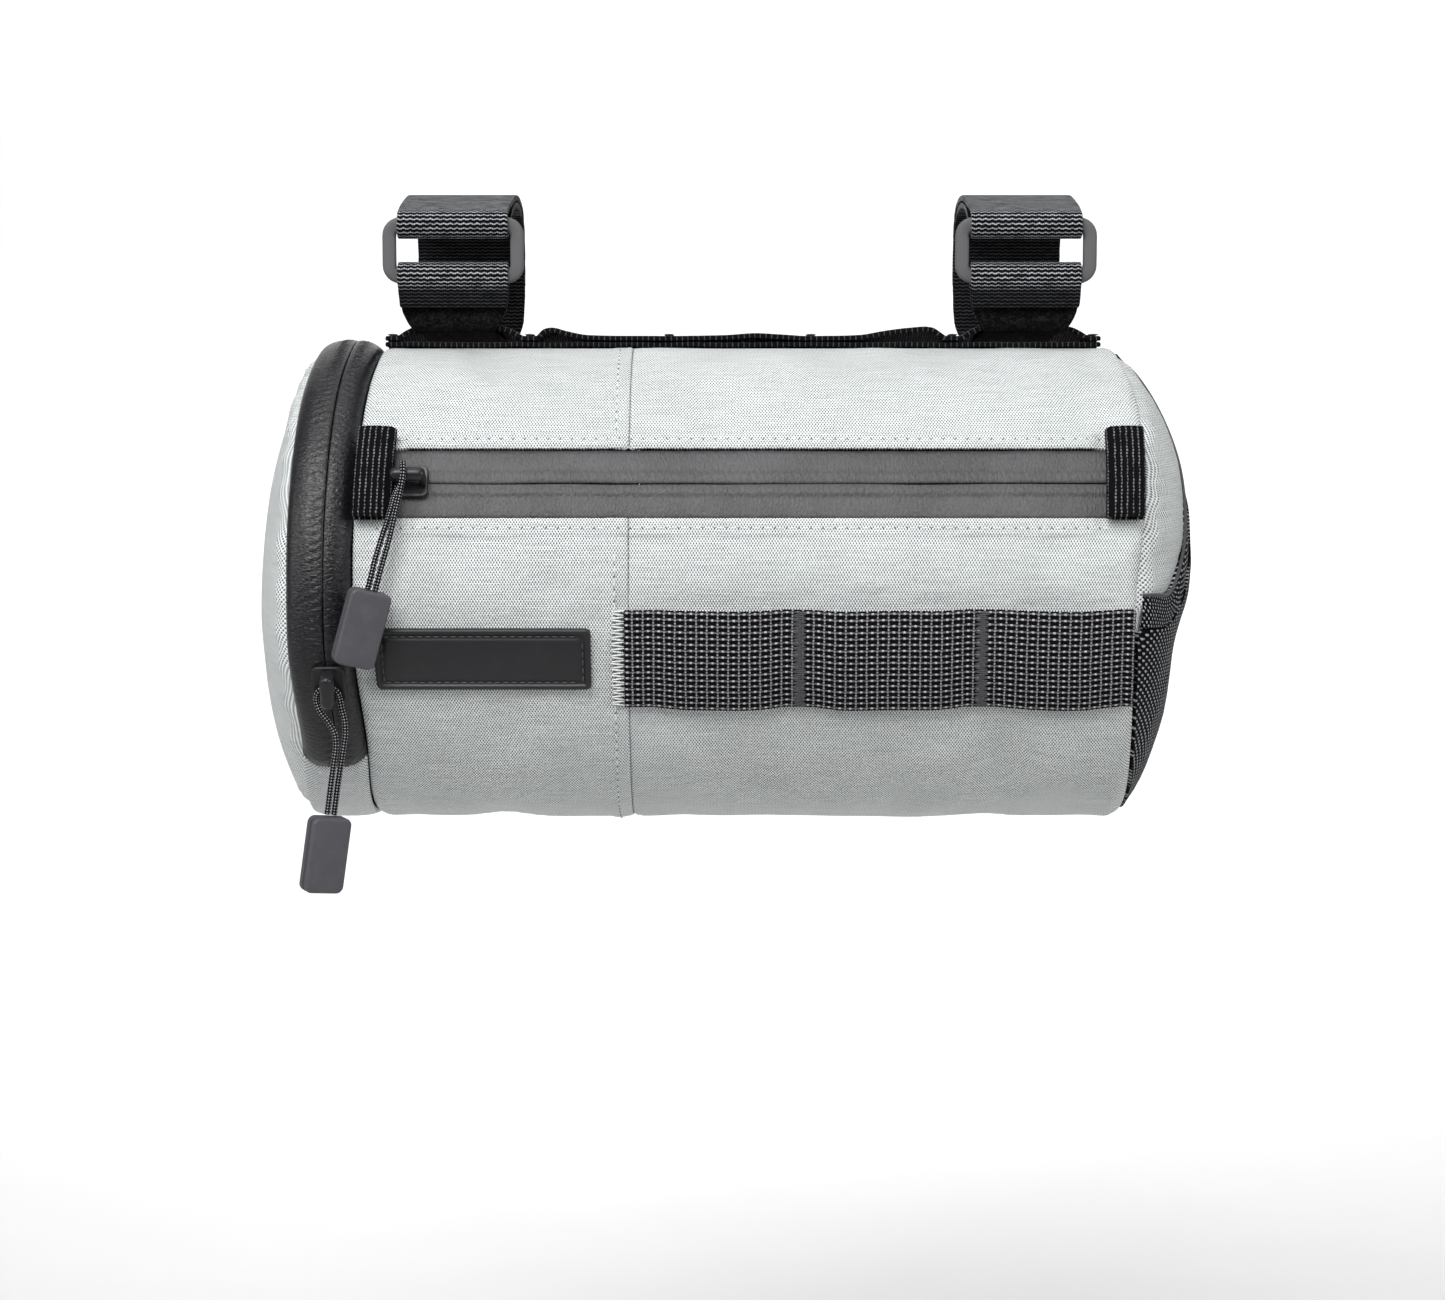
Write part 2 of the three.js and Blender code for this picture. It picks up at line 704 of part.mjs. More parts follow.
// Ring of the strap: a rounded rectangle swept by a section that follows its bars
function ring() {
  const halfWidth = strapWidth / 2 + ringClearance + ringSideBar / 2;
  const halfHeight = (ringUpperZ - ringLowerZ) / 2;
  const outline = new THREE.Shape();
  outline.absarc(halfWidth - ringCorner, halfHeight - ringCorner, ringCorner, 0, Math.PI / 2);
  outline.absarc(ringCorner - halfWidth, halfHeight - ringCorner, ringCorner, Math.PI / 2, Math.PI);
  outline.absarc(ringCorner - halfWidth, ringCorner - halfHeight, ringCorner, Math.PI, 1.5 * Math.PI);
  outline.absarc(halfWidth - ringCorner, ringCorner - halfHeight, ringCorner, 1.5 * Math.PI, 2 * Math.PI);
  const centre = outline.getPoints(cornerSegments).filter((p, k, all) => k === 0 || p.distanceTo(all[k - 1]) > 0.01);
  if (centre[0].distanceTo(centre[centre.length - 1]) < 0.01) centre.pop();
  const count = centre.length;
  const torus = new THREE.TorusGeometry(2, 1, ringSides, count);
  const points = torus.attributes.position;
  for (let k = 0; k < points.count; k += 1) {
    const turn = Math.atan2(points.getY(k), points.getX(k)) / (2 * Math.PI);
    const at = Math.round((turn + 1) * count) % count;
    const before = centre[(at + count - 1) % count];
    const after = centre[(at + 1) % count];
    const outwards = new THREE.Vector2(after.y - before.y, before.x - after.x).normalize();
    const reach = Math.hypot(points.getX(k), points.getY(k)) - 2;
    const onSide = Math.abs(outwards.x) > 0.9;
    const bar = (onSide ? ringSideBar : ringBar) / 2;
    const x = centre[at].x + outwards.x * reach * bar;
    const z = centre[at].y + outwards.y * reach * bar;
    points.setXYZ(k, x, -points.getZ(k) * (ringThickness / 2), z);
  }
  torus.computeVertexNormals();
  return torus;
}

for (const side of [-1, 1]) {
  const buckle = add(side < 0 ? 'buckle_left' : 'buckle_right', ring(), finishes.ring);
  buckle.position.set(side * strapX, ringY, (ringUpperZ + ringLowerZ) / 2);
}

// Joins closed geometries into one body
function joined(geometries) {
  const solids = geometries.map((geometry) => {
    const plain = geometry.index ? geometry.clone() : mergeVertices(geometry.clone());
    plain.deleteAttribute('normal');
    plain.deleteAttribute('uv');
    const merged = mergeVertices(plain);
    const mesh = new wasm.Mesh({
      numProp: 3,
      vertProperties: merged.attributes.position.array,
      triVerts: new Uint32Array(merged.index.array),
    });
    return new wasm.Manifold(mesh);
  });
  const mesh = solids.reduce((sum, solid) => sum.add(solid)).getMesh();
  const geometry = new THREE.BufferGeometry();
  geometry.setAttribute('position', new THREE.BufferAttribute(mesh.vertProperties, 3));
  geometry.setIndex(new THREE.BufferAttribute(mesh.triVerts, 1));
  geometry.computeVertexNormals();
  return geometry;
}

// Rounded rectangle as a flat shape round the origin
function roundedRectangle(width, height, corner) {
  const shape = new THREE.Shape();
  const x = width / 2 - corner;
  const y = height / 2 - corner;
  shape.absarc(x, y, corner, 0, Math.PI / 2);
  shape.absarc(-x, y, corner, Math.PI / 2, Math.PI);
  shape.absarc(-x, -y, corner, Math.PI, 1.5 * Math.PI);
  shape.absarc(x, -y, corner, 1.5 * Math.PI, 2 * Math.PI);
  return shape;
}

// Slider with a bridge that the cord runs under, X along the zip, Z away from the bag
function slider() {
  const outline = roundedRectangle(sliderLength - 2 * sliderBevel, sliderWidth - 2 * sliderBevel, sliderCorner);
  const plate = new THREE.ExtrudeGeometry(outline, {
    depth: sliderPlate - 2 * sliderBevel,
    bevelThickness: sliderBevel,
    bevelSize: sliderBevel,
    bevelSegments: 1,
    curveSegments: cornerSegments,
  });
  plate.translate(0, 0, sliderBevel);
  const bridgeZ = sliderPlate + gap + cordDiameter + gap + bridgeRadius;
  const bridge = new THREE.CylinderGeometry(bridgeRadius, bridgeRadius, bridgeLength, bridgeSides);
  bridge.rotateZ(Math.PI / 2);
  bridge.translate(0, 0, bridgeZ);
  const posts = [-1, 1].map((side) => {
    const post = new THREE.BoxGeometry(bridgePost, bridgeRadius * 1.5, bridgeZ - sliderPlate / 2);
    post.translate((side * (bridgeLength - bridgePost)) / 2, 0, (bridgeZ + sliderPlate / 2) / 2);
    return post;
  });
  return joined([plate, bridge, ...posts]);
}

// Stands a piece on the barrel at an angle and height, with its X turned from the barrel axis
function standOnBarrel(mesh, x, angle, height, spin) {
  mesh.rotation.order = 'XYZ';
  mesh.rotation.set((90 - angle) * degrees, 0, spin);
  mesh.position.copy(onBarrel(x, angle, barrelRadius + height));
}

const frontSlider = add('front_zip_slider', slider(), finishes.slider);
standOnBarrel(frontSlider, frontSliderX, zipAngle, gap - tapeRecess, 0);
const sideSlider = add('side_zip_slider', slider(), finishes.slider);
standOnBarrel(sideSlider, sideSliderX, sideSliderAngle, gap + sideZipRise, Math.PI / 2);

// Pull cord along its route
function pullCord(route) {
  const section = new THREE.Shape();
  section.absarc(0, 0, cordDiameter / 2, 0, 2 * Math.PI);
  const path = new THREE.CatmullRomCurve3(route.map((p) => new THREE.Vector3(...p)), false, 'centripetal');
  return new THREE.ExtrudeGeometry(section, { steps: cordSteps, extrudePath: path, curveSegments: cordSides });
}

add('front_pull_cord', pullCord(frontCordRoute), finishes.cord);
add('side_pull_cord', pullCord(sideCordRoute), finishes.cord);

// Moulded pull tab with rounded edges, upright, facing -Y
function pullTab() {
  const outline = roundedRectangle(tabWidth - 2 * tabBevel, tabHeight - 2 * tabBevel, tabCorner - tabBevel / 2);
  const tab = new THREE.ExtrudeGeometry(outline, {
    depth: tabThickness - 2 * tabBevel,
    bevelThickness: tabBevel,
    bevelSize: tabBevel,
    bevelSegments: 2,
    curveSegments: cornerSegments,
  });
  tab.translate(0, 0, tabBevel - tabThickness / 2);
  tab.rotateX(Math.PI / 2);
  return tab;
}

for (const [name, place] of [['front_pull_tab', frontTabPlace], ['side_pull_tab', sideTabPlace]]) {
  const tab = add(name, pullTab(), finishes.rubber);
  tab.rotation.order = 'YXZ';
  tab.rotation.set(0, place.tilt * degrees, place.turn * degrees);
  tab.position.set(place.x, place.y, place.z);
}

export default bag;
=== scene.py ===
import logging
import math
from dataclasses import dataclass
from enum import Enum
from functools import cached_property
from itertools import accumulate
from typing import Callable, Sequence

import bmesh
import bpy
from mathutils import Matrix, Vector, noise


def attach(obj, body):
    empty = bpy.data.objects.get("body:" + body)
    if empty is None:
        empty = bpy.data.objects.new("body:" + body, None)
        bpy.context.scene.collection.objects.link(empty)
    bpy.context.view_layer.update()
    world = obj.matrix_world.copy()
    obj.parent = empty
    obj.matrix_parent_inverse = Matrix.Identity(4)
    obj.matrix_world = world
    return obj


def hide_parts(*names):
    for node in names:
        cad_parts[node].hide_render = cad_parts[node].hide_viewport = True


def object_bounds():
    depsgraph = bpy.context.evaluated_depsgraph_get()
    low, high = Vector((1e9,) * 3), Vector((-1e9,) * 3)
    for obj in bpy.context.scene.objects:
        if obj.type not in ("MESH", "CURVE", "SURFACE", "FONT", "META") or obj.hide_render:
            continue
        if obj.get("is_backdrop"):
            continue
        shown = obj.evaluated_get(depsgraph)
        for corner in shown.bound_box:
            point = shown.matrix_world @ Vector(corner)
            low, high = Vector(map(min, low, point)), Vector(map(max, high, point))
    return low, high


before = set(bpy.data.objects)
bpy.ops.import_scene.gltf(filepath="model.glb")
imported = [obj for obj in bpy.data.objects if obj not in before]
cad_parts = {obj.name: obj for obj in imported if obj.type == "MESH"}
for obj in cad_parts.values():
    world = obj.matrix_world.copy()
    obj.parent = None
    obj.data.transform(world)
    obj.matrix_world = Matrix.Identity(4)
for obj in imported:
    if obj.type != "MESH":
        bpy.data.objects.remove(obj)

MM = 0.001
DEGREE = math.pi / 180
CLOTH_UV = "cloth"
LOG = logging.getLogger("handlebar_bag")
CAD_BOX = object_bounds()

Mesh = bmesh.types.BMesh
Edge = bmesh.types.BMEdge
Piece = bpy.types.Object
Socket = bpy.types.NodeSocket
Value = float | Socket
Placer = Callable[[float, float], Vector]
Rows = Sequence[tuple[float, ...]]
Inputs = dict[int | str, Value | tuple[float, ...]]
# A place, a size or a colour
Triple = tuple[float, float, float]


class Slot(Enum):
    """Material slots of the record."""

    LIGHT_FABRIC = "light_fabric"
    ZIP_TAPE = "zip_tape"
    SIDE_TAPE = "side_tape"
    POCKET_FABRIC = "pocket_fabric"
    WEBBING = "webbing"
    STRAP_WEBBING = "strap_webbing"
    RUBBER = "moulded_rubber"
    RING_PLASTIC = "ring_plastic"
    SLIDER_METAL = "slider_metal"
    CORD = "cord"


class Side(Enum):
    """End of the bag, as seen from the front."""

    LEFT = -1
    RIGHT = 1

    @property
    def word(self) -> str:
        """Name of the side in lower case."""
        return self.name.lower()


# Small sums


def smooth_step(low: float, high: float, value: float) -> float:
    """Rises smoothly from 0 at low to 1 at high.

    Args:
        low: Where the rise starts.
        high: Where the rise ends.
        value: The place that is asked for.

    Returns:
        A share from 0 to 1.
    """
    share = min(1.0, max(0.0, (value - low) / (high - low)))
    return share * share * (3 - 2 * share)


def hump(value: float, centre: float, width: float) -> float:
    """Soft bump of height 1 round a centre, near 0 at one and a half widths."""
    return math.exp(-(((value - centre) / width) ** 2))


def stations(start: float, end: float, step: float) -> list[float]:
    """Evenly spaced places from start to end, no further apart than step."""
    count = max(1, math.ceil(abs(end - start) / step - 1e-6))
    return [start + (end - start) * k / count for k in range(count + 1)]


def graded(start: float, end: float, near: Sequence[float], gap: float, step: float) -> list[float]:
    """Places from start to end that stand closer near both ends.

    Args:
        start: First place.
        end: Last place.
        near: Distances of the close places from either end, in rising order.
        gap: Distance from the last of them to the even places between.
        step: Largest distance between those.

    Returns:
        The places in order.
    """
    inner = near[-1] + gap
    first = [start + distance for distance in near]
    last = [end - distance for distance in reversed(near)]
    return first + stations(start + inner, end - inner, step) + last


def read_curve(rows: Rows, place: float, column: int = 1) -> float:
    """Reads a smooth curve through the rows of a table.

    Args:
        rows: Rows with the place in their first column, in rising order.
        place: The place that is asked for.
        column: The column that is read.

    Returns:
        The value there, constant past both ends.
    """
    if place <= rows[0][0]:
        return rows[0][column]
    if place >= rows[-1][0]:
        return rows[-1][column]
    k = next(i for i, row in enumerate(rows) if row[0] >= place)
    before, after = rows[k - 1], rows[k]
    span = after[0] - before[0]

    def slope(i: int) -> float:
        """Slope of the curve at a row."""
        low, high = rows[max(0, i - 1)], rows[min(len(rows) - 1, i + 1)]
        return (high[column] - low[column]) / (high[0] - low[0])

    t = (place - before[0]) / span
    return (
        (2 * t**3 - 3 * t**2 + 1) * before[column]
        + (t**3 - 2 * t**2 + t) * span * slope(k - 1)
        + (3 * t**2 - 2 * t**3) * after[column]
        + (t**3 - t**2) * span * slope(k)
    )


def crumple(spot: Vector, size: float, seed: float) -> float:
    """Smooth uneven value from -1 to 1 with humps of about one size."""
    return noise.noise(Vector((spot.x / size + seed, spot.y / size, spot.z / size)))


def half_turn(angle: float) -> float:
    """Angle brought between -180 and 180 degrees."""
    return (angle + 180) % 360 - 180


def distances(points: Sequence[Sequence[float]]) -> list[float]:
    """Distance of each point from the first, measured from point to point."""
    steps = (math.dist(before, here) for before, here in zip(points, points[1:]))
    return [0.0, *accumulate(steps)]


# Meshes


def cloth_grid(
    along: Sequence[float],
    across: Sequence[float],
    place: Placer,
    lay: Callable[[float, float], tuple[float, float]],
) -> Mesh:
    """Starts a grid and moves each of its points to its place on the piece.

    Args:
        along: Stations of the first direction.
        across: Stations of the second direction.
        place: Gives the point for a pair of stations.
        lay: Gives the place of a pair of stations on the flat cloth, in millimetres.

    Returns:
        An open mesh with faces turned towards first direction cross second direction.
    """
    mesh = bmesh.new()
    bmesh.ops.create_grid(
        mesh, x_segments=len(along) - 1, y_segments=len(across) - 1, size=0.5
    )
    pair = {
        vert: (
            along[round((vert.co.x + 0.5) * (len(along) - 1))],
            across[round((vert.co.y + 0.5) * (len(across) - 1))],
        )
        for vert in mesh.verts
    }
    layer = mesh.loops.layers.uv.new(CLOTH_UV)
    for face in mesh.faces:
        for loop in face.loops:
            loop[layer].uv = lay(*pair[loop.vert])
    for vert, (a, b) in pair.items():
        vert.co = place(a, b)
    return mesh


def close_seams(mesh: Mesh) -> None:
    """Merges the points that meet at a seam or a pole."""
    bmesh.ops.remove_doubles(mesh, verts=mesh.verts, dist=0.002)


def cap_ends(mesh: Mesh) -> None:
    """Fills the open ends of a tube."""
    edges = [edge for edge in mesh.edges if edge.is_boundary]
    bmesh.ops.holes_fill(mesh, edges=edges, sides=0)


def join(mesh: Mesh, part: Mesh) -> None:
    """Adds a part to a mesh.

    Args:
        mesh: Mesh that takes it.
        part: The part, which is used up.
    """
    data = bpy.data.meshes.new("part")
    part.to_mesh(data)
    part.free()
    mesh.from_mesh(data)
    bpy.data.meshes.remove(data)


def lathe(rows: Rows, steps: int) -> Mesh:
    """Turns a profile round the X axis.

    Args:
        rows: Place along X and radius, with radius 0 at both ends.
        steps: Number of faces round the axis.

    Returns:
        A closed mesh.
    """
    mesh = bmesh.new()
    start = [mesh.verts.new((x, 0, radius)) for x, radius in rows]
    edges = [mesh.edges.new(pair) for pair in zip(start, start[1:])]
    bmesh.ops.spin(
        mesh, geom=start + edges, cent=(0, 0, 0), axis=(1, 0, 0), dvec=(0, 0, 0),
        angle=2 * math.pi, steps=steps, use_merge=True, use_duplicate=False)
    close_seams(mesh)
    bmesh.ops.recalc_face_normals(mesh, faces=mesh.faces)
    return mesh


def box(size: Triple) -> Mesh:
    """Makes a box round the origin.

    Args:
        size: Its length along each axis.

    Returns:
        The box, with sharp edges.
    """
    mesh = bmesh.new()
    bmesh.ops.create_cube(mesh, size=1)
    bmesh.ops.scale(mesh, vec=size, verts=mesh.verts)
    return mesh


def edges_along(mesh: Mesh, axis: int, least: float) -> list[Edge]:
    """Edges that reach further than a least length along an axis."""
    return [e for e in mesh.edges if abs((e.verts[0].co - e.verts[1].co)[axis]) > least]


def rims(mesh: Mesh) -> list[Edge]:
    """Edges at which two faces meet at more than about 70 degrees."""
    return [e for e in mesh.edges if e.calc_face_angle(0) > 1.2]


def bevel(mesh: Mesh, edges: list[Edge], width: float, segments: int) -> None:
    """Rounds edges of a mesh."""
    bmesh.ops.bevel(
        mesh, geom=edges, offset=width, affect="EDGES", segments=segments, profile=0.5, material=-1)


def round_box(size: Triple, edge: float, segments: int) -> Mesh:
    """Makes a box with rounded edges, round the origin.

    Args:
        size: Its length along each axis.
        edge: Width of the rounded edges.
        segments: Faces across each of them.

    Returns:
        The box.
    """
    mesh = box(size)
    bevel(mesh, mesh.edges[:], edge, segments)
    return mesh


def tube(path: Sequence[Vector], radius: float, sides: int) -> Mesh:
    """Makes a round tube along a path, with closed ends.

    Args:
        path: Points of the centre line.
        radius: Radius of the tube.
        sides: Number of faces round it.

    Returns:
        A closed mesh, laid out with its length and its way round.
    """
    lengths = distances(path)
    frames: list[tuple[Vector, Vector]] = []
    normal = Vector((0, -1, 0.3))
    for k in range(len(path)):
        tangent = (path[min(k + 1, len(path) - 1)] - path[max(k - 1, 0)]).normalized()
        normal = (normal - tangent * normal.dot(tangent)).normalized()
        frames.append((normal.copy(), tangent.cross(normal)))

    def place(turn: float, k: float) -> Vector:
        """Point round the path.

        Args:
            turn: Share of the way round.
            k: Number of the point on the path.

        Returns:
            The point on the tube's skin.
        """
        first, second = frames[int(k)]
        angle = turn * 2 * math.pi
        return path[int(k)] + (first * math.cos(angle) + second * math.sin(angle)) * radius

    mesh = cloth_grid(
        stations(0, 1, 1 / sides),
        [float(k) for k in range(len(path))],
        place,
        lambda turn, k: (turn * 2 * math.pi * radius, lengths[int(k)]),
    )
    close_seams(mesh)
    cap_ends(mesh)
    bmesh.ops.recalc_face_normals(mesh, faces=mesh.faces)
    return mesh


def smooth_path(points: Sequence[Vector], pieces: int) -> list[Vector]:
    """Runs a smooth curve through points.

    Args:
        points: Points that the curve passes through.
        pieces: Number of short lines between one point and the next.

    Returns:
        The points of the curve.
    """
    last = len(points) - 1
    path: list[Vector] = []
    for k in range(last):
        p0, p1 = points[max(k - 1, 0)], points[k]
        p2, p3 = points[k + 1], points[min(k + 2, last)]
        for s in range(pieces):
            t = s / pieces
            path.append(
                0.5
                * (
                    2 * p1
                    + (p2 - p0) * t
                    + (2 * p0 - 5 * p1 + 4 * p2 - p3) * t**2
                    + (3 * p1 - p0 - 3 * p2 + p3) * t**3
                )
            )
    return path + [points[last].copy()]


def add_stitch(mesh: Mesh, start: Vector, end: Vector, radius: float) -> None:
    """Adds one stitch as a slim rounded body.

    Args:
        mesh: Mesh that takes it.
        start: Its first end.
        end: Its other end.
        radius: Radius of the thread.
    """
    line = end - start
    turn = Vector((0, 0, 1)).rotation_difference(line).to_matrix().to_4x4()
    size = Matrix.Diagonal((radius, radius, line.length / 2, 1))
    matrix = Matrix.Translation((start + end) / 2) @ turn @ size
    bmesh.ops.create_uvsphere(mesh, u_segments=6, v_segments=4, radius=1, matrix=matrix)


def stitch_line(
    mesh: Mesh,
    line: Callable[[float], Vector],
    length: float,
    pitch: float,
    radius: float,
    hole_shade: Mesh | None = None,
) -> None:
    """Adds a row of stitches along a line.

    Args:
        mesh: Mesh that takes them.
        line: Gives the point at a distance along the line.
        length: Length of the line.
        pitch: Distance from one stitch to the next.
        radius: Radius of the thread.
        hole_shade: Mesh that takes small dark bodies between the stitches, painted shade in each needle
            hole.
    """
    for k in range(int(length / pitch)):
        start = (k + 0.16) * pitch
        add_stitch(mesh, line(start), line(start + pitch * 0.7), radius)
        if hole_shade is not None:
            spot = start - pitch * 0.15
            add_stitch(hole_shade, line(spot - radius), line(spot + radius), radius * 1.15)


# Cloth that settles


@dataclass(frozen=True)
class SettledCloth:
    """Heights of a piece of cloth after a short simulation, on its grid."""

    along: Sequence[float]
    across: Sequence[float]
    heights: Sequence[Sequence[float]]

    def at(self, a: float, b: float) -> float:
        """Height at a place on the cloth, between the points of the grid.

        Args:
            a: Place in the first direction.
            b: Place in the second direction.

        Returns:
            The height in millimetres.
        """
        i, s = self.cell(self.along, a)
        j, t = self.cell(self.across, b)
        low = self.heights[i][j] * (1 - t) + self.heights[i][j + 1] * t
        high = self.heights[i + 1][j] * (1 - t) + self.heights[i + 1][j + 1] * t
        return low * (1 - s) + high * s

    @staticmethod
    def cell(places: Sequence[float], value: float) -> tuple[int, float]:
        """Finds the cell of a grid that holds a value.

        Args:
            places: Evenly spaced places.
            value: The value.

        Returns:
            The cell's number, and the eased share of the value in it.
        """
        share = (value - places[0]) / (places[-1] - places[0]) * (len(places) - 1)
        k = min(len(places) - 2, max(0, int(share)))
        return k, smooth_step(0, 1, share - k)


@dataclass(frozen=True)
class ClothTest:
    """Short cloth simulation of a piece that is sewn down along its edges.

    The mesh is ten times life size while it runs, where the cloth is steadier.
    Its heights stay under the cap, in millimetres.
    """

    spare: float = 0.004
    rough: float = 0.35
    rough_size: float = 16
    seed: float = 12.5
    merge: float = 0.002
    bending: float = 8.0
    pressure: float = 0.8
    sag: float = 0.2
    cap: float = 1.5
    frames: int = 24
    scale: float = 0.01

    def run(
        self,
        along: Sequence[float],
        across: Sequence[float],
        place: Callable[[float, float, float], Vector],
        held: Callable[[float, float], float],
    ) -> SettledCloth:
        """Lets the cloth settle, with a little spare cloth in both directions.

        Args:
            along: Evenly spaced stations of the first direction.
            across: Evenly spaced stations of the second direction.
            place: Gives the point for a pair of stations and a height.
            held: Gives how firmly the cloth is held there, from 0 to 1.
        """
        heights = [[0.0] * len(across) for _ in along]

        def start(a: float, b: float) -> Vector:
            """Point of the slightly rough cloth that the simulation starts from."""
            rough = self.rough * crumple(place(a, b, 0.0), self.rough_size, self.seed) * (1 - held(a, b))
            return place(a, b, rough) * self.scale

        mesh = cloth_grid(along, across, start, lambda a, b: (along.index(a), across.index(b)))
        bmesh.ops.remove_doubles(mesh, verts=mesh.verts, dist=self.merge * self.scale)
        data = bpy.data.meshes.new("cloth_test")
        mesh.to_mesh(data)
        mesh.free()
        cloth = bpy.data.objects.new("cloth_test", data)
        bpy.context.collection.objects.link(cloth)
        cells: dict[int, set[tuple[int, int]]] = {}
        for loop in data.loops:
            u, v = data.uv_layers[CLOTH_UV].data[loop.index].uv
            cells.setdefault(loop.vertex_index, set()).add((round(u), round(v)))
        group = cloth.vertex_groups.new(name="held")
        for vertex, spots in cells.items():
            i, j = min(spots)
            group.add([vertex], held(along[i], across[j]), "REPLACE")
        self.step(cloth)
        settled = cloth.evaluated_get(bpy.context.evaluated_depsgraph_get()).to_mesh()
        for vertex, spots in cells.items():
            for i, j in spots:
                base = place(along[i], across[j], 0.0)
                normal = (place(along[i], across[j], 1.0) - base).normalized()
                moved = settled.vertices[vertex].co / self.scale - base
                heights[i][j] = self.cap * math.tanh(moved.dot(normal) / self.cap)
        bpy.data.objects.remove(cloth)
        bpy.data.meshes.remove(data)
        return SettledCloth(along, across, heights)

    def step(self, cloth: Piece) -> None:
        """Runs the simulation.

        Args:
            cloth: Object of the cloth, with its held points in a vertex group.
        """
        modifier = cloth.modifiers.new("settle", "CLOTH")
        settings = modifier.settings
        settings.quality = 6
        settings.mass = 0.25
        settings.tension_stiffness = settings.compression_stiffness = 25
        settings.shear_stiffness = 12
        settings.bending_stiffness = self.bending
        settings.air_damping = 3
        settings.shrink_min = -self.spare
        settings.vertex_group_mass = "held"
        settings.use_pressure = True
        settings.uniform_pressure_force = self.pressure
        settings.effector_weights.gravity = self.sag
        modifier.collision_settings.use_collision = False
        modifier.point_cache.frame_end = self.frames
        scene = bpy.context.scene
        for frame_number in range(1, self.frames + 1):
            scene.frame_set(frame_number)


# Finishes


class Graph:
    """Node tree of one finish."""

    def __init__(self, name: str, **constants: float | tuple[float, ...]) -> None:
        """Starts a material and sets the shader's own sockets.

        Args:
            name: Name of the material.
            constants: Socket names, with underscores for spaces, and their values.
        """
        self.material = bpy.data.materials.new(name)
        self.material.use_nodes = True
        self.tree = self.material.node_tree
        self.shader = self.tree.nodes["Principled BSDF"]
        for socket, value in constants.items():
            self.shader.inputs[socket.replace("_", " ")].default_value = value

    def feed(self, socket: Socket, value: Value | tuple[float, ...]) -> None:
        """Links a socket, or sets it to a value.

        Args:
            socket: Input of a node.
            value: Another node's output, or a constant.
        """
        if isinstance(value, bpy.types.NodeSocket):
            self.tree.links.new(value, socket)
        else:
            socket.default_value = value

    def add(self, kind: str, inputs: Inputs, **settings: str | int | bool) -> bpy.types.Node:
        """Adds a node.

        Args:
            kind: Blender's name for its type.
            inputs: Values or sockets for its inputs.
            settings: Its own properties.

        Returns:
            The node.
        """
        node = self.tree.nodes.new(kind)
        for name, value in settings.items():
            setattr(node, name, value)
        for socket, value in inputs.items():
            self.feed(node.inputs[socket], value)
        return node

    def math(self, operation: str, *values: Value) -> Socket:
        """Adds a sum of one to three values."""
        node = self.add("ShaderNodeMath", dict(enumerate(values)), operation=operation)
        return node.outputs[0]

    def times(self, first: Value, second: Value) -> Socket:
        """Product of two values."""
        return self.math("MULTIPLY", first, second)

    def scaled(self, value: Value, factor: Value, more: Value) -> Socket:
        """A value times a factor, with more added."""
        return self.math("MULTIPLY_ADD", value, factor, more)

    def centred(self, value: Value) -> Socket:
        """Value round 0, from one round 0.5."""
        return self.math("SUBTRACT", value, 0.5)

    def share(self, value: Value, low: float, high: float) -> Socket:
        """Maps low to 0 and high to 1, smoothly and within bounds."""
        inputs: Inputs = {"Value": value, "From Min": low, "From Max": high}
        return self.add("ShaderNodeMapRange", inputs, interpolation_type="SMOOTHSTEP").outputs["Result"]

    def cloth(self) -> tuple[Socket, Socket]:
        """Reads the place on the flat cloth.

        Returns:
            Millimetres across and along.
        """
        uv = self.add("ShaderNodeUVMap", {}, uv_map=CLOTH_UV)
        parts = self.add("ShaderNodeSeparateXYZ", {0: uv.outputs["UV"]})
        return parts.outputs["X"], parts.outputs["Y"]

    def spot(self) -> Socket:
        """Place on the object."""
        return self.add("ShaderNodeTexCoord", {}).outputs["Object"]

    def noise(self, place: Socket, scale: float, detail: float, distortion: float = 0.0) -> Socket:
        """Uneven value round 0.5 over a place."""
        inputs: Inputs = {"Vector": place, "Scale": scale, "Detail": detail, "Distortion": distortion}
        return self.add("ShaderNodeTexNoise", inputs).outputs["Fac"]

    def grain(self, size: float, detail: float = 2.0) -> Socket:
        """Uneven value round 0.5 with humps of about one size in millimetres."""
        return self.noise(self.spot(), 1 / (size * MM), detail)

    def wave(self, value: Value, pitch: float, shift: float = 0.0) -> Socket:
        """Sine of a place, with one full wave in each pitch, shifted by a share of it."""
        turn = self.scaled(value, 2 * math.pi / pitch, 2 * math.pi * shift)
        return self.math("SINE", turn)

    def streaks(self, across: Value, along: Value, length: float, width: float) -> Socket:
        """Uneven value round 0.5 in streaks of a length and a width in millimetres."""
        parts: Inputs = {"X": self.times(across, 1 / length), "Y": self.times(along, 1 / width)}
        return self.noise(self.add("ShaderNodeCombineXYZ", parts).outputs[0], 1.0, 2.0)

    def colour(self, share: Value, low: tuple[float, ...], high: tuple[float, ...]) -> Socket:
        """Mixes two colours by a share."""
        inputs: Inputs = {"Factor": share, 6: (*low, 1.0), 7: (*high, 1.0)}
        return self.add("ShaderNodeMix", inputs, data_type="RGBA").outputs[2]

    def paint(self, colour: Socket) -> None:
        """Links the base colour."""
        self.feed(self.shader.inputs["Base Color"], colour)

    def gloss(self, roughness: Socket) -> None:
        """Links the roughness."""
        self.feed(self.shader.inputs["Roughness"], roughness)

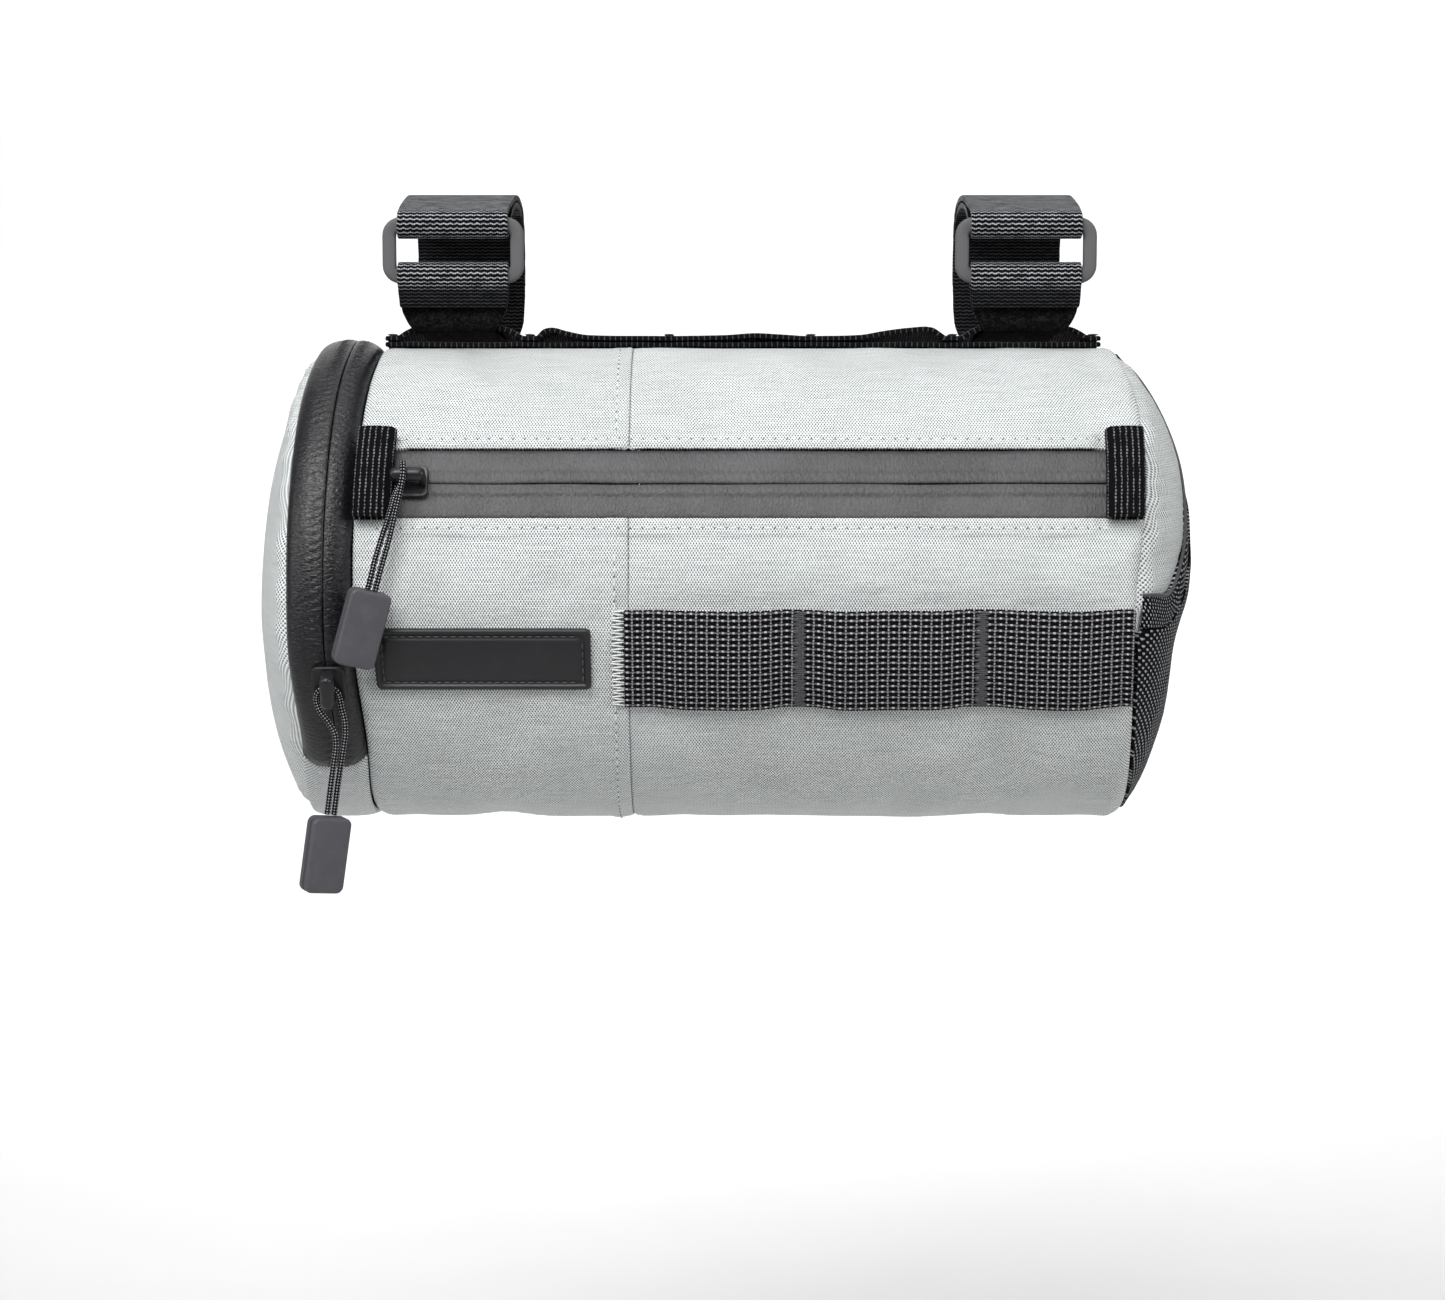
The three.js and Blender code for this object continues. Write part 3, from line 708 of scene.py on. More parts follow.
    def raise_by(self, height: Socket, distance: float) -> None:
        """Adds bumps over those that are there already.

        Args:
            height: Height from 0 to 1.
            distance: Depth of the bumps in millimetres.
        """
        inputs: Inputs = {
            "Height": height, "Distance": distance * MM, "Strength": 1.0}
        bump = self.add("ShaderNodeBump", inputs)
        previous = self.shader.inputs["Normal"].links
        if previous:
            self.feed(bump.inputs["Normal"], previous[0].from_socket)
        self.feed(self.shader.inputs["Normal"], bump.outputs["Normal"])


def shade(colour: Triple, share: float) -> tuple[float, ...]:
    """Colour made darker, or lighter where the share is over 1."""
    return tuple(share * part for part in colour)


@dataclass(frozen=True)
class Finish:
    """Finish of a piece: a material and the record's slot that it belongs to."""

    name: str
    slot: Slot

    def material(self) -> bpy.types.Material:
        """Material of the finish, made once."""
        return bpy.data.materials.get(self.name) or self.make()

    def make(self) -> bpy.types.Material:
        """Makes the material."""
        raise NotImplementedError


@dataclass(frozen=True)
class PlainWeave(Finish):
    """Plain weave: bright glossy threads over a grey-green ground, in staggered dots."""

    light: Triple = (0.9, 0.92, 0.92)
    dark: Triple = (0.13, 0.165, 0.16)
    dot: float = 0.74
    row: float = 1.2
    depth: float = 0.17

    def make(self) -> bpy.types.Material:
        """Crosses two sine waves into threads that go over and under.

        Returns:
            The material.
        """
        graph = Graph(self.name, Specular_IOR_Level=0.4)
        across, along = graph.cloth()
        dots = graph.times(graph.wave(across, self.dot), graph.wave(along, self.row))
        yarn = graph.centred(graph.streaks(across, along, 14.0, 0.6))
        slub = graph.centred(graph.grain(0.8, 2.0))
        uneven = graph.scaled(yarn, 0.42, graph.times(slub, 0.2))
        thread = graph.scaled(dots, 0.7, graph.math("ADD", uneven, 0.5))
        shown = graph.share(thread, 0.15, 0.6)
        base = graph.colour(shown, self.dark, self.light)
        soil = graph.share(graph.grain(30, 3.0), 0.3, 0.7)
        node = graph.add("ShaderNodeHueSaturation", {"Color": base})
        graph.feed(node.inputs["Value"], graph.scaled(soil, 0.06, 0.95))
        graph.paint(node.outputs["Color"])
        graph.gloss(graph.scaled(shown, -0.3, 0.8))
        graph.raise_by(thread, self.depth)
        graph.raise_by(graph.grain(5, 2.0), 0.3)
        return graph.material


@dataclass(frozen=True)
class CoatedTape(Finish):
    """Smooth coated cloth with fine creases."""

    colour: Triple = (0.074, 0.074, 0.077)
    roughness: float = 0.5
    crease: float = 0.3
    crease_size: float = 1.1
    drawn_out: float = 1.9

    def make(self) -> bpy.types.Material:
        """Lays drawn-out creases and a fine grain over a satin coat.

        Returns:
            The material.
        """
        graph = Graph(self.name, Specular_IOR_Level=0.5)
        across, along = graph.cloth()
        flat = graph.add("ShaderNodeCombineXYZ", {"X": across, "Y": graph.times(along, self.drawn_out)})
        creases = graph.noise(flat.outputs[0], 1 / self.crease_size, 3.0, 0.6)
        wear = graph.share(graph.grain(14, 4.0), 0.35, 0.7)
        # Colour darker in the creases' hollows as painted shade, mixed with random paler and darker wear
        crease_shade = graph.share(creases, 0.3, 0.7)
        tone = graph.scaled(crease_shade, 0.6, graph.times(wear, 0.4))
        graph.paint(graph.colour(tone, shade(self.colour, 0.68), shade(self.colour, 1.32)))
        graph.gloss(graph.scaled(creases, 0.25, self.roughness - 0.12))
        graph.raise_by(creases, self.crease)
        graph.raise_by(graph.grain(0.35, 2.0), 0.03)
        return graph.material


@dataclass(frozen=True)
class BasketWebbing(Finish):
    """Black webbing with thin pale ribs, and a row of knots between each two."""

    light: Triple = (0.72, 0.71, 0.75)
    dark: Triple = (0.002, 0.002, 0.003)
    rib: float = 2.7
    row: float = 1.5

    def make(self) -> bpy.types.Material:
        """Lays ribs, knots and faint cross threads over black.

        Returns:
            The material.
        """
        graph = Graph(self.name, Specular_IOR_Level=0.1)
        across, along = graph.cloth()
        sway = graph.times(graph.centred(graph.streaks(across, along, 6.0, 3.0)), 0.5)
        column = graph.wave(graph.math("ADD", across, sway), self.rib, 0.25)
        rows = graph.wave(along, self.row)
        ribs = graph.share(column, 0.74, 0.99)
        ribs = graph.times(ribs, graph.scaled(graph.wave(along, self.row / 2), 0.2, 0.36))
        knots = graph.times(graph.share(column, -0.4, -0.95), graph.share(rows, 0.0, 0.9))
        knots = graph.times(knots, 0.7)
        threads = graph.times(graph.share(rows, 0.35, 0.95), 0.27)
        shown = graph.math("MAXIMUM", graph.math("MAXIMUM", ribs, knots), threads)
        uneven = graph.scaled(graph.grain(0.5, 2.0), 1.3, 0.35)
        shown = graph.times(shown, uneven)
        graph.paint(graph.colour(graph.share(shown, 0.0, 1.0), self.dark, self.light))
        graph.gloss(graph.scaled(shown, -0.3, 0.85))
        graph.raise_by(shown, 0.3)
        return graph.material


@dataclass(frozen=True)
class RibbedWebbing(Finish):
    """Webbing with zigzag ribs across it that catch the light; the glints are painted into the colour of
    the ribs' threads.
    """

    # Painted glints: the pale colour of the ribs' threads over the near-black ground
    light: Triple = (0.62, 0.64, 0.68)
    dark: Triple = (0.002, 0.002, 0.003)
    rib: float = 0.97
    zigzag: float = 1.75
    sway: float = 0.12
    threshold: float = 0.3
    beading: float = 0.3
    # Painted shade of a strap, where its flap faces down and where it runs behind the ring: its ribs are
    # painted dark there, lightening over these heights and over these places towards the front
    painted_shade: bool = False
    painted_shade_heights: tuple[float, float] = (-8.0, -4.5)
    painted_shade_places: tuple[float, float] = (11.0, 5.0)

    def make(self) -> bpy.types.Material:
        """Shifts the ribs up and down and breaks them into threads.

        Returns:
            The material.
        """
        graph = Graph(self.name, Specular_IOR_Level=0.1)
        across, along = graph.cloth()
        shift = graph.times(graph.wave(across, self.zigzag), self.sway)
        ribs = graph.wave(graph.math("ADD", along, shift), self.rib)
        beads = graph.scaled(graph.wave(across, self.zigzag / 3), self.beading, 1 - self.beading)
        fuzz = graph.centred(graph.grain(0.4, 2.0))
        worn = graph.centred(graph.streaks(across, along, 4.0, 1.0))
        rough = graph.scaled(fuzz, 1.1, graph.times(worn, 1.2))
        thread = graph.share(graph.math("ADD", rough, ribs), self.threshold, 1.1)
        # Painted shade: the ribs are painted dark low on the flap and behind the ring, where shadow falls
        if self.painted_shade:
            parts = graph.add("ShaderNodeSeparateXYZ", {0: graph.spot()})
            above = graph.share(parts.outputs["Z"], *(height * MM for height in self.painted_shade_heights))
            front = graph.share(parts.outputs["Y"], *(place * MM for place in self.painted_shade_places))
            lit = graph.scaled(graph.times(above, front), 0.9, 0.1)
            thread = graph.times(thread, lit)
        # Painted glints where the ribs' threads catch light, over the near-black ground
        graph.paint(graph.colour(graph.times(thread, beads), self.dark, self.light))
        graph.gloss(graph.scaled(thread, -0.3, 0.85))
        graph.raise_by(graph.scaled(ribs, 0.5, 0.5), 0.22)
        return graph.material


@dataclass(frozen=True)
class LoopPile(Finish):
    """Black loop pile of a hook-and-loop strap."""

    dark: Triple = (0.0008, 0.0008, 0.001)
    light: Triple = (0.014, 0.014, 0.016)

    def make(self) -> bpy.types.Material:
        """Tangles of fine loops that catch little light.

        Returns:
            The material.
        """
        graph = Graph(self.name, Specular_IOR_Level=0.12, Roughness=0.95)
        loops = graph.grain(0.6, 4.0)
        tangle = graph.share(graph.scaled(graph.grain(2.4, 2.0), 0.5, loops), 0.65, 1.0)
        graph.paint(graph.colour(tangle, self.dark, self.light))
        graph.raise_by(loops, 0.8)
        return graph.material


@dataclass(frozen=True)
class BallisticWeave(Finish):
    """Black heavy weave whose pairs of threads read as slanting ribs."""

    light: Triple = (0.46, 0.475, 0.5)
    dark: Triple = (0.002, 0.002, 0.003)
    rib: float = 1.15
    bead: float = 1.6

    def make(self) -> bpy.types.Material:
        """Breaks slanting ribs into beads.

        Returns:
            The material.
        """
        graph = Graph(self.name, Specular_IOR_Level=0.1)
        across, along = graph.cloth()
        slant = graph.scaled(across, 0.62, graph.times(along, 0.78))
        square = graph.scaled(across, 0.78, graph.times(along, -0.62))
        ribs = graph.wave(slant, self.rib)
        beads = graph.wave(graph.scaled(ribs, 0.2, square), self.bead)
        fuzz = graph.centred(graph.grain(0.6, 3.0))
        cell = graph.scaled(beads, 0.85, ribs)
        thread = graph.share(graph.scaled(fuzz, 1.8, cell), 0.45, 1.5)
        graph.paint(graph.colour(thread, self.dark, self.light))
        graph.gloss(graph.scaled(thread, -0.25, 0.8))
        graph.raise_by(graph.scaled(cell, 0.4, 0.5), 0.3)
        return graph.material


@dataclass(frozen=True)
class BraidedCord(Finish):
    """Black braid with light flecks."""

    light: Triple = (0.5, 0.51, 0.54)
    dark: Triple = (0.004, 0.004, 0.005)
    pitch: float = 1.5
    round: float = 1.5 * math.pi

    def make(self) -> bpy.types.Material:
        """Crosses two spirals.

        Returns:
            The material.
        """
        graph = Graph(self.name, Roughness=0.7, Specular_IOR_Level=0.15)
        turn, along = graph.cloth()
        sway = graph.times(turn, self.pitch * 3 / self.round)
        left = graph.wave(graph.math("ADD", along, sway), self.pitch)
        right = graph.wave(graph.math("SUBTRACT", along, sway), self.pitch)
        strand = graph.times(left, right)
        graph.paint(graph.colour(graph.share(strand, 0.25, 0.85), self.dark, self.light))
        graph.raise_by(graph.math("ABSOLUTE", strand), 0.2)
        return graph.material


@dataclass(frozen=True)
class Moulded(Finish):
    """Moulded rubber or plastic with a fine texture."""

    colour: Triple = (0.045, 0.046, 0.05)
    roughness: float = 0.5
    speckle: float = 0.04
    speckle_size: float = 0.35

    def make(self) -> bpy.types.Material:
        """Fine speckle, with paler worn spots.

        Returns:
            The material.
        """
        graph = Graph(self.name, Specular_IOR_Level=0.45)
        grain = graph.grain(self.speckle_size, 3.0)
        wear = graph.share(graph.grain(6, 4.0), 0.45, 0.8)
        tone = graph.scaled(wear, 0.5, graph.times(grain, 0.5))
        graph.paint(graph.colour(tone, shade(self.colour, 0.85), shade(self.colour, 1.3)))
        graph.gloss(graph.scaled(grain, 0.2, self.roughness - 0.1))
        graph.raise_by(grain, self.speckle)
        return graph.material


@dataclass(frozen=True)
class Thread(Finish):
    """Sewing thread."""

    colour: Triple = (0.62, 0.65, 0.65)

    def make(self) -> bpy.types.Material:
        """Twisted thread with a little sheen.

        Returns:
            The material.
        """
        graph = Graph(self.name, Roughness=0.6, Sheen_Weight=0.2)
        twist = graph.grain(0.3, 2.0)
        graph.paint(graph.colour(graph.share(twist, 0.3, 0.7), shade(self.colour, 0.7), self.colour))
        graph.raise_by(twist, 0.05)
        return graph.material


LIGHT_FABRIC = PlainWeave("light_fabric_weave", Slot.LIGHT_FABRIC)
ZIP_TAPE = CoatedTape("zip_tape_coat", Slot.ZIP_TAPE)
SIDE_TAPE = CoatedTape("side_tape_coat", Slot.SIDE_TAPE, colour=(0.0075, 0.0075, 0.0095), roughness=0.31)
LASH_WEAVE = BasketWebbing("lash_webbing_weave", Slot.WEBBING)
DAISY_WEAVE = BasketWebbing("daisy_webbing_weave", Slot.WEBBING, light=(0.3, 0.3, 0.32), rib=1.5, row=1.1)
# Zip tab ribs: near-black webbing with painted glints on its threads
TAB_WEBBING = RibbedWebbing(
    "zip_tab_ribs", Slot.WEBBING, light=(0.25, 0.255, 0.27), rib=1.45, zigzag=2.6, sway=0.05,
    threshold=0.6, beading=0.5)
# Strap ribs with painted glints, and painted shade low on the flap and behind the ring
STRAP_RIBS = RibbedWebbing("strap_ribs", Slot.STRAP_WEBBING, painted_shade=True)
STRAP_PILE = LoopPile("strap_pile", Slot.STRAP_WEBBING)
POCKET_WEAVE = BallisticWeave("pocket_weave", Slot.POCKET_FABRIC)
CORD_BRAID = BraidedCord("cord_braid", Slot.CORD)
TAB_RUBBER = Moulded("tab_rubber", Slot.RUBBER, colour=(0.078, 0.078, 0.088), speckle=0.08)
LABEL_RUBBER = Moulded(
    "label_rubber", Slot.RUBBER, colour=(0.014, 0.014, 0.016), roughness=0.42, speckle=0.03)
RING_PLASTIC = Moulded(
    "ring_plastic", Slot.RING_PLASTIC, colour=(0.31, 0.31, 0.325), roughness=0.36, speckle=0.05)
SLIDER_METAL = Moulded(
    "slider_paint", Slot.SLIDER_METAL, colour=(0.012, 0.012, 0.014), roughness=0.36, speckle=0.015)
LIGHT_THREAD = Thread("light_thread", Slot.LIGHT_FABRIC, colour=(0.88, 0.9, 0.9))
FLAP_THREAD = Thread("flap_thread", Slot.STRAP_WEBBING, colour=(0.2, 0.205, 0.22))
# Painted shade in the needle holes beside stitches and in the gaps of the lash's end tack, as small dark
# bodies
NEEDLE_HOLE_SHADE = Thread("needle_hole_shade", Slot.LIGHT_FABRIC, colour=(0.12, 0.14, 0.14))
DARK_THREAD = Thread("dark_thread", Slot.WEBBING, colour=(0.055, 0.056, 0.062))


# Finished pieces


def make_piece(
    name: str, mesh: Mesh, finish: Finish, replaces: Sequence[str] = (), sharp: float = 180.0
) -> Piece:
    """Turns a mesh in millimetres into a piece of the bag.

    Args:
        name: Name of the piece.
        mesh: Its mesh, which is used up.
        finish: Its finish.
        replaces: Nodes of the frame that it stands for.
        sharp: Angle in degrees past which an edge stays sharp.

    Returns:
        The piece, riding on the bag.
    """
    bmesh.ops.scale(mesh, vec=(MM, MM, MM), verts=mesh.verts)
    data = bpy.data.meshes.new(name)
    mesh.to_mesh(data)
    mesh.free()
    data.shade_smooth()
    if sharp < 180:
        data.set_sharp_from_angle(angle=sharp * DEGREE)
    data.materials.append(finish.material())
    piece = bpy.data.objects.new(name, data)
    bpy.context.collection.objects.link(piece)
    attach(piece, "root")
    if replaces:
        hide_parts(*replaces)
    LOG.info("%s: %d faces", name, len(data.polygons))
    return piece


def thicken(
    piece: Piece, thickness: float, offset: float = -1.0, soften: float = 0.0, even: bool = True
) -> None:
    """Gives a sheet its thickness, and rounds its edges.

    Args:
        piece: The sheet.
        thickness: Thickness in millimetres.
        offset: -1 grows it inwards, 0 to both sides.
        soften: Radius of the rounded edges in millimetres.
        even: Keeps the thickness at bends; off where narrow cells would shoot out.
    """
    solid = piece.modifiers.new("thickness", "SOLIDIFY")
    solid.thickness = thickness * MM
    solid.offset = offset
    solid.use_even_offset = even
    if soften:
        bevel = piece.modifiers.new("soft edges", "BEVEL")
        bevel.width = soften * MM
        bevel.segments = 2
        bevel.limit_method = "ANGLE"
        bevel.angle_limit = 50 * DEGREE
        bevel.harden_normals = True


# Geometry that the pieces share


@dataclass(frozen=True)
class Barrel:
    """Round body of the bag along X, with the seams at its ends."""

    radius: float = 62.0
    axis_y: float = -14.899
    axis_z: float = -84.496
    left_seam: float = -96.5
    right_seam: float = 100.5
    middle_seam: float = -28.0
    gusset: float = 16.5
    seam_roll: float = 1.6
    seam_reach: float = 3.0
    # Share of a quarter circle that the roll follows, and the drop that goes with it
    roll_share: float = 0.98
    roll_drop: float = 0.86
    zip_angle: float = 29.6
    zip_width: float = 19.5
    # Angle round the barrel, then how far the left and the right seam bow out
    bows: Rows = (
        (-180, 0.0, 0.0), (-90, -0.8, 0.0), (-60, -0.8, -0.2), (-35, -1.6, -1.2), (-12, 0.2, -2.0),
        (5, 0.3, -1.6), (20, 0.2, 0.2), (50, -0.8, 0.9), (80, -2.4, -1.4), (110, -1.8, -1.2),
        (180, 0.0, 0.0),
    )

    @property
    def degree(self) -> float:
        """Length of one degree on the barrel."""
        return self.radius * DEGREE

    @property
    def zip_half(self) -> float:
        """Half of the zip's width as an angle."""
        return self.zip_width / 2 / self.degree

    @property
    def cloth_start(self) -> float:
        """Angle of the cloth's edge above the zip."""
        return self.zip_angle + self.zip_half

    @property
    def cloth_end(self) -> float:
        """Angle of the cloth's edge below the zip, a full turn on."""
        return 360 + self.zip_angle - self.zip_half

    def seam(self, side: Side) -> float:
        """Place of an end seam."""
        return self.left_seam if side is Side.LEFT else self.right_seam

    def from_seam(self, x: float) -> float:
        """Distance from the nearer end seam."""
        return min(x - self.left_seam, self.right_seam - x)

    def from_zip(self, angle: float) -> float:
        """Distance of the cloth from the nearer edge of the zip."""
        return min(angle - self.cloth_start, self.cloth_end - angle) * self.degree

    def bowed(self, x: float, angle: float) -> float:
        """Moves a place along the barrel with the bow of the end seams.

        Args:
            x: Place along the barrel.
            angle: Angle round the barrel.

        Returns:
            The moved place: in full at and past a seam, and not at the middle seam.
        """
        turned = half_turn(angle)
        if x < self.middle_seam:
            share = min(1.0, (self.middle_seam - x) / (self.middle_seam - self.left_seam))
            return x - read_curve(self.bows, turned, 1) * share
        share = min(1.0, (x - self.middle_seam) / (self.right_seam - self.middle_seam))
        return x + read_curve(self.bows, turned, 2) * share

    def point(self, x: float, angle: float, height: float = 0.0) -> Vector:
        """Point round the barrel.

        Args:
            x: Place along the barrel.
            angle: 0 at the front and 90 on top.
            height: Height above the barrel's surface.

        Returns:
            The point in millimetres.
        """
        reach = self.radius + height
        return Vector((
            self.bowed(x, angle),
            self.axis_y - reach * math.cos(angle * DEGREE),
            self.axis_z + reach * math.sin(angle * DEGREE),
        ))

    def roll(self, distance: float) -> float:
        """Drop of the cloth where it rolls into a seam, at a distance from it."""
        share = 1 - min(1.0, max(0.0, distance / self.seam_reach))
        return self.seam_roll * (1 - math.sqrt(1 - self.roll_share * share * share)) / self.roll_drop


BARREL = Barrel()


@dataclass(frozen=True)
class Lamp:
    """Soft square light: its place, size and aim in metres, and its beam in degrees."""

    name: str
    spot: Triple
    size: float
    watts: float
    aim: Triple = (0, -0.02, -0.08)
    spread: float = 80

    def build(self) -> None:
        """Makes the light."""
        data = bpy.data.lights.new(self.name, "AREA")
        data.size = self.size
        data.energy = self.watts
        data.spread = self.spread * DEGREE
        lamp = bpy.data.objects.new(self.name, data)
        lamp.location = self.spot
        lamp.rotation_euler = (Vector(self.aim) - Vector(self.spot)).to_track_quat("-Z", "Y").to_euler()
        bpy.context.collection.objects.link(lamp)


@dataclass(frozen=True)
class Studio:
    """Camera, lights and floor, in metres."""

    eye: Triple = (-0.0045, -0.9210, 0.0107)
    pitch: float = 82.841
    sensor: float = 36.0
    lens: float = 84.96
    sight: float = 20.0
    lamps: tuple[Lamp, ...] = (
        Lamp("key", (-0.36, -1.02, 0.95), 0.9, 4.8),
        Lamp("top", (0.1, 0.1, 1.2), 1.0, 0.6),
        Lamp("right", (1.15, -0.8, 0.3), 0.7, 1.5),
        Lamp("left", (-1.2, -0.55, 0.3), 0.7, 1.0),
        Lamp("wall", (0.0, 0.5, 1.05), 1.4, 19.5, aim=(0.0, 1.5, -0.1), spread=115),
    )
    glow: float = 0.18
    floor: float = -0.36
    floor_half: float = 3.0
    # Distance over the floor and up the wall, then back and up
    floor_rows: Rows = (
        (0.0, -2.6, 0.0), (1.0, 0.9, 0.0), (1.35, 1.25, 0.1), (1.6, 1.38, 0.35), (2.6, 1.4, 2.2))
    paper: tuple[Triple, Triple] = ((0.62, 0.62, 0.62), (0.64, 0.64, 0.64))

    def build(self) -> None:
        """Makes the camera, the lights, the surroundings and the floor."""
        self.camera()
        for lamp in self.lamps:
            lamp.build()
        self.surroundings()
        self.backdrop()

    def camera(self) -> None:
        """Camera at the photograph's viewpoint."""
        data = bpy.data.cameras.new("camera")
        data.sensor_width = self.sensor
        data.sensor_fit = "HORIZONTAL"
        data.lens = self.lens
        data.clip_end = self.sight
        camera = bpy.data.objects.new("camera", data)
        camera.location = self.eye
        camera.rotation_euler = (self.pitch * DEGREE, 0, 0)
        bpy.context.collection.objects.link(camera)
        bpy.context.scene.camera = camera

    def surroundings(self) -> None:
        """Plain white surroundings."""
        world = bpy.data.worlds.new("surroundings")
        world.use_nodes = True
        background = world.node_tree.nodes["Background"]
        background.inputs["Color"].default_value = (1, 1, 1, 1)
        background.inputs["Strength"].default_value = self.glow
        bpy.context.scene.world = world
        bpy.context.scene.view_settings.view_transform = "Standard"

    def backdrop(self) -> None:
        """Pale floor that curves up behind the bag."""
        def place(x: float, along: float) -> Vector:
            """Point of the floor and the wall, in millimetres."""
            back, up = (read_curve(self.floor_rows, along, column) for column in (1, 2))
            return Vector((x, back, self.floor + up)) / MM

        mesh = cloth_grid(
            stations(-self.floor_half, self.floor_half, 0.5), stations(0, self.floor_rows[-1][0], 0.05),
            place, lambda x, along: (x, along))
        bmesh.ops.scale(mesh, vec=(MM, MM, MM), verts=mesh.verts)
        data = bpy.data.meshes.new("backdrop")
        mesh.to_mesh(data)
        mesh.free()
        data.shade_smooth()
        graph = Graph("backdrop_paper", Roughness=0.9)
        graph.paint(graph.colour(graph.grain(40, 2.0), *self.paper))
        data.materials.append(graph.material)
        floor = bpy.data.objects.new("backdrop", data)
        bpy.context.collection.objects.link(floor)
        floor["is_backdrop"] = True


@dataclass(frozen=True)
class PullCord:
    """Cord that runs from its tab under the slider's bridge and back, in metres."""

    name: str
    route: Sequence[Triple]
    diameter: float = 0.0015

    def build(self) -> None:
        path = smooth_path([Vector(p) / MM for p in self.route], 5)
        mesh = tube(path, self.diameter / 2 / MM, 12)
        cord = make_piece(f"{self.name}_braid", mesh, CORD_BRAID, [self.name])
        length = distances(path)[-1] * MM
        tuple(self.route[0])


FRONT_CORD = PullCord("front_pull_cord", (
    (-0.0921, -0.0835, -0.0793), (-0.0913, -0.0834, -0.0764), (-0.0904, -0.0821, -0.0724),
    (-0.0889, -0.0798, -0.0670), (-0.0873, -0.0774, -0.0618), (-0.0862, -0.0739, -0.0573),
    (-0.0854, -0.0716, -0.0548), (-0.0849, -0.0703, -0.0531), (-0.0847, -0.0700, -0.0516),
    (-0.0845, -0.0704, -0.0502), (-0.0843, -0.0714, -0.0492), (-0.0841, -0.0729, -0.0488),
    (-0.0839, -0.0743, -0.0492), (-0.0838, -0.0753, -0.0502), (-0.0839, -0.0760, -0.0520),
    (-0.0844, -0.0768, -0.0550), (-0.0856, -0.0784, -0.0605), (-0.0870, -0.0802, -0.0670),
    (-0.0886, -0.0818, -0.0730), (-0.0896, -0.0827, -0.0769), (-0.0904, -0.0829, -0.0798),
))
SIDE_CORD = PullCord("side_pull_cord", (
    (-0.10355, -0.0784, -0.1366), (-0.1031, -0.0784, -0.1335), (-0.1024, -0.0784, -0.1285),
    (-0.1017, -0.0784, -0.1237), (-0.1011, -0.0783, -0.1195), (-0.1014, -0.0781, -0.1162),
    (-0.1030, -0.0779, -0.1133), (-0.1048, -0.0777, -0.1109), (-0.1058, -0.0776, -0.1086),
    (-0.10585, -0.0777, -0.1072), (-0.1055, -0.0781, -0.1059), (-0.1044, -0.0784, -0.1049),
    (-0.1030, -0.0786, -0.1045), (-0.1016, -0.0784, -0.1049), (-0.1005, -0.0781, -0.1059),
    (-0.1001, -0.0777, -0.1072), (-0.0996, -0.0776, -0.1100), (-0.0989, -0.0776, -0.1130),
    (-0.0988, -0.0776, -0.1165), (-0.0993, -0.0776, -0.1198), (-0.1000, -0.0775, -0.1240),
    (-0.1008, -0.0774, -0.1288), (-0.1015, -0.0774, -0.1337), (-0.10195, -0.0774, -0.1369),
))


@dataclass(frozen=True)
class PullTab:
    """Moulded tab on the end of a pull cord, with a groove round its side."""

    name: str
    spot: Triple
    turn: float
    tilt: float
    width: float = 10.6
    height: float = 19.4
    thickness: float = 4.6
    corner: float = 1.9
    edge: float = 0.7
    groove: float = 0.35
    groove_inset: float = 0.12
    # The two sides of the groove, as distances behind the tab's middle
    groove_sides: tuple[float, float] = (-1.088, 0.2)

    def build(self) -> None:
        """Makes the tab from a block with rounded corners and edges."""
        mesh = box((self.width, self.thickness, self.height))
        bevel(mesh, edges_along(mesh, 1, 1.0), self.corner, 6)
        for y in self.groove_sides:
            geom = mesh.verts[:] + mesh.edges[:] + mesh.faces[:]
            bmesh.ops.bisect_plane(mesh, geom=geom, plane_co=(0, y, 0), plane_no=(0, 1, 0))
        bevel(mesh, rims(mesh), self.edge, 4)
        middle = sum(self.groove_sides) / 2
        seam = [
            face for face in mesh.faces
            if abs(face.normal.y) < 0.1 and abs(face.calc_center_median().y - middle) < 0.6
        ]
        bmesh.ops.inset_region(mesh, faces=seam, thickness=self.groove_inset, depth=-self.groove)
        turn = Matrix.Rotation(self.tilt * DEGREE, 4, "Y") @ Matrix.Rotation(self.turn * DEGREE, 4, "Z")
        bmesh.ops.transform(mesh, matrix=Matrix.Translation(self.spot) @ turn, verts=mesh.verts)
        make_piece(f"{self.name}_moulding", mesh, TAB_RUBBER, [self.name], sharp=60)


FRONT_TAB = PullTab("front_pull_tab", (-93.9, -83.2, -89.1), 20, 15.5)
SIDE_TAB = PullTab("side_pull_tab", (-104.2, -77.9, -146.9), 32, 8.2)


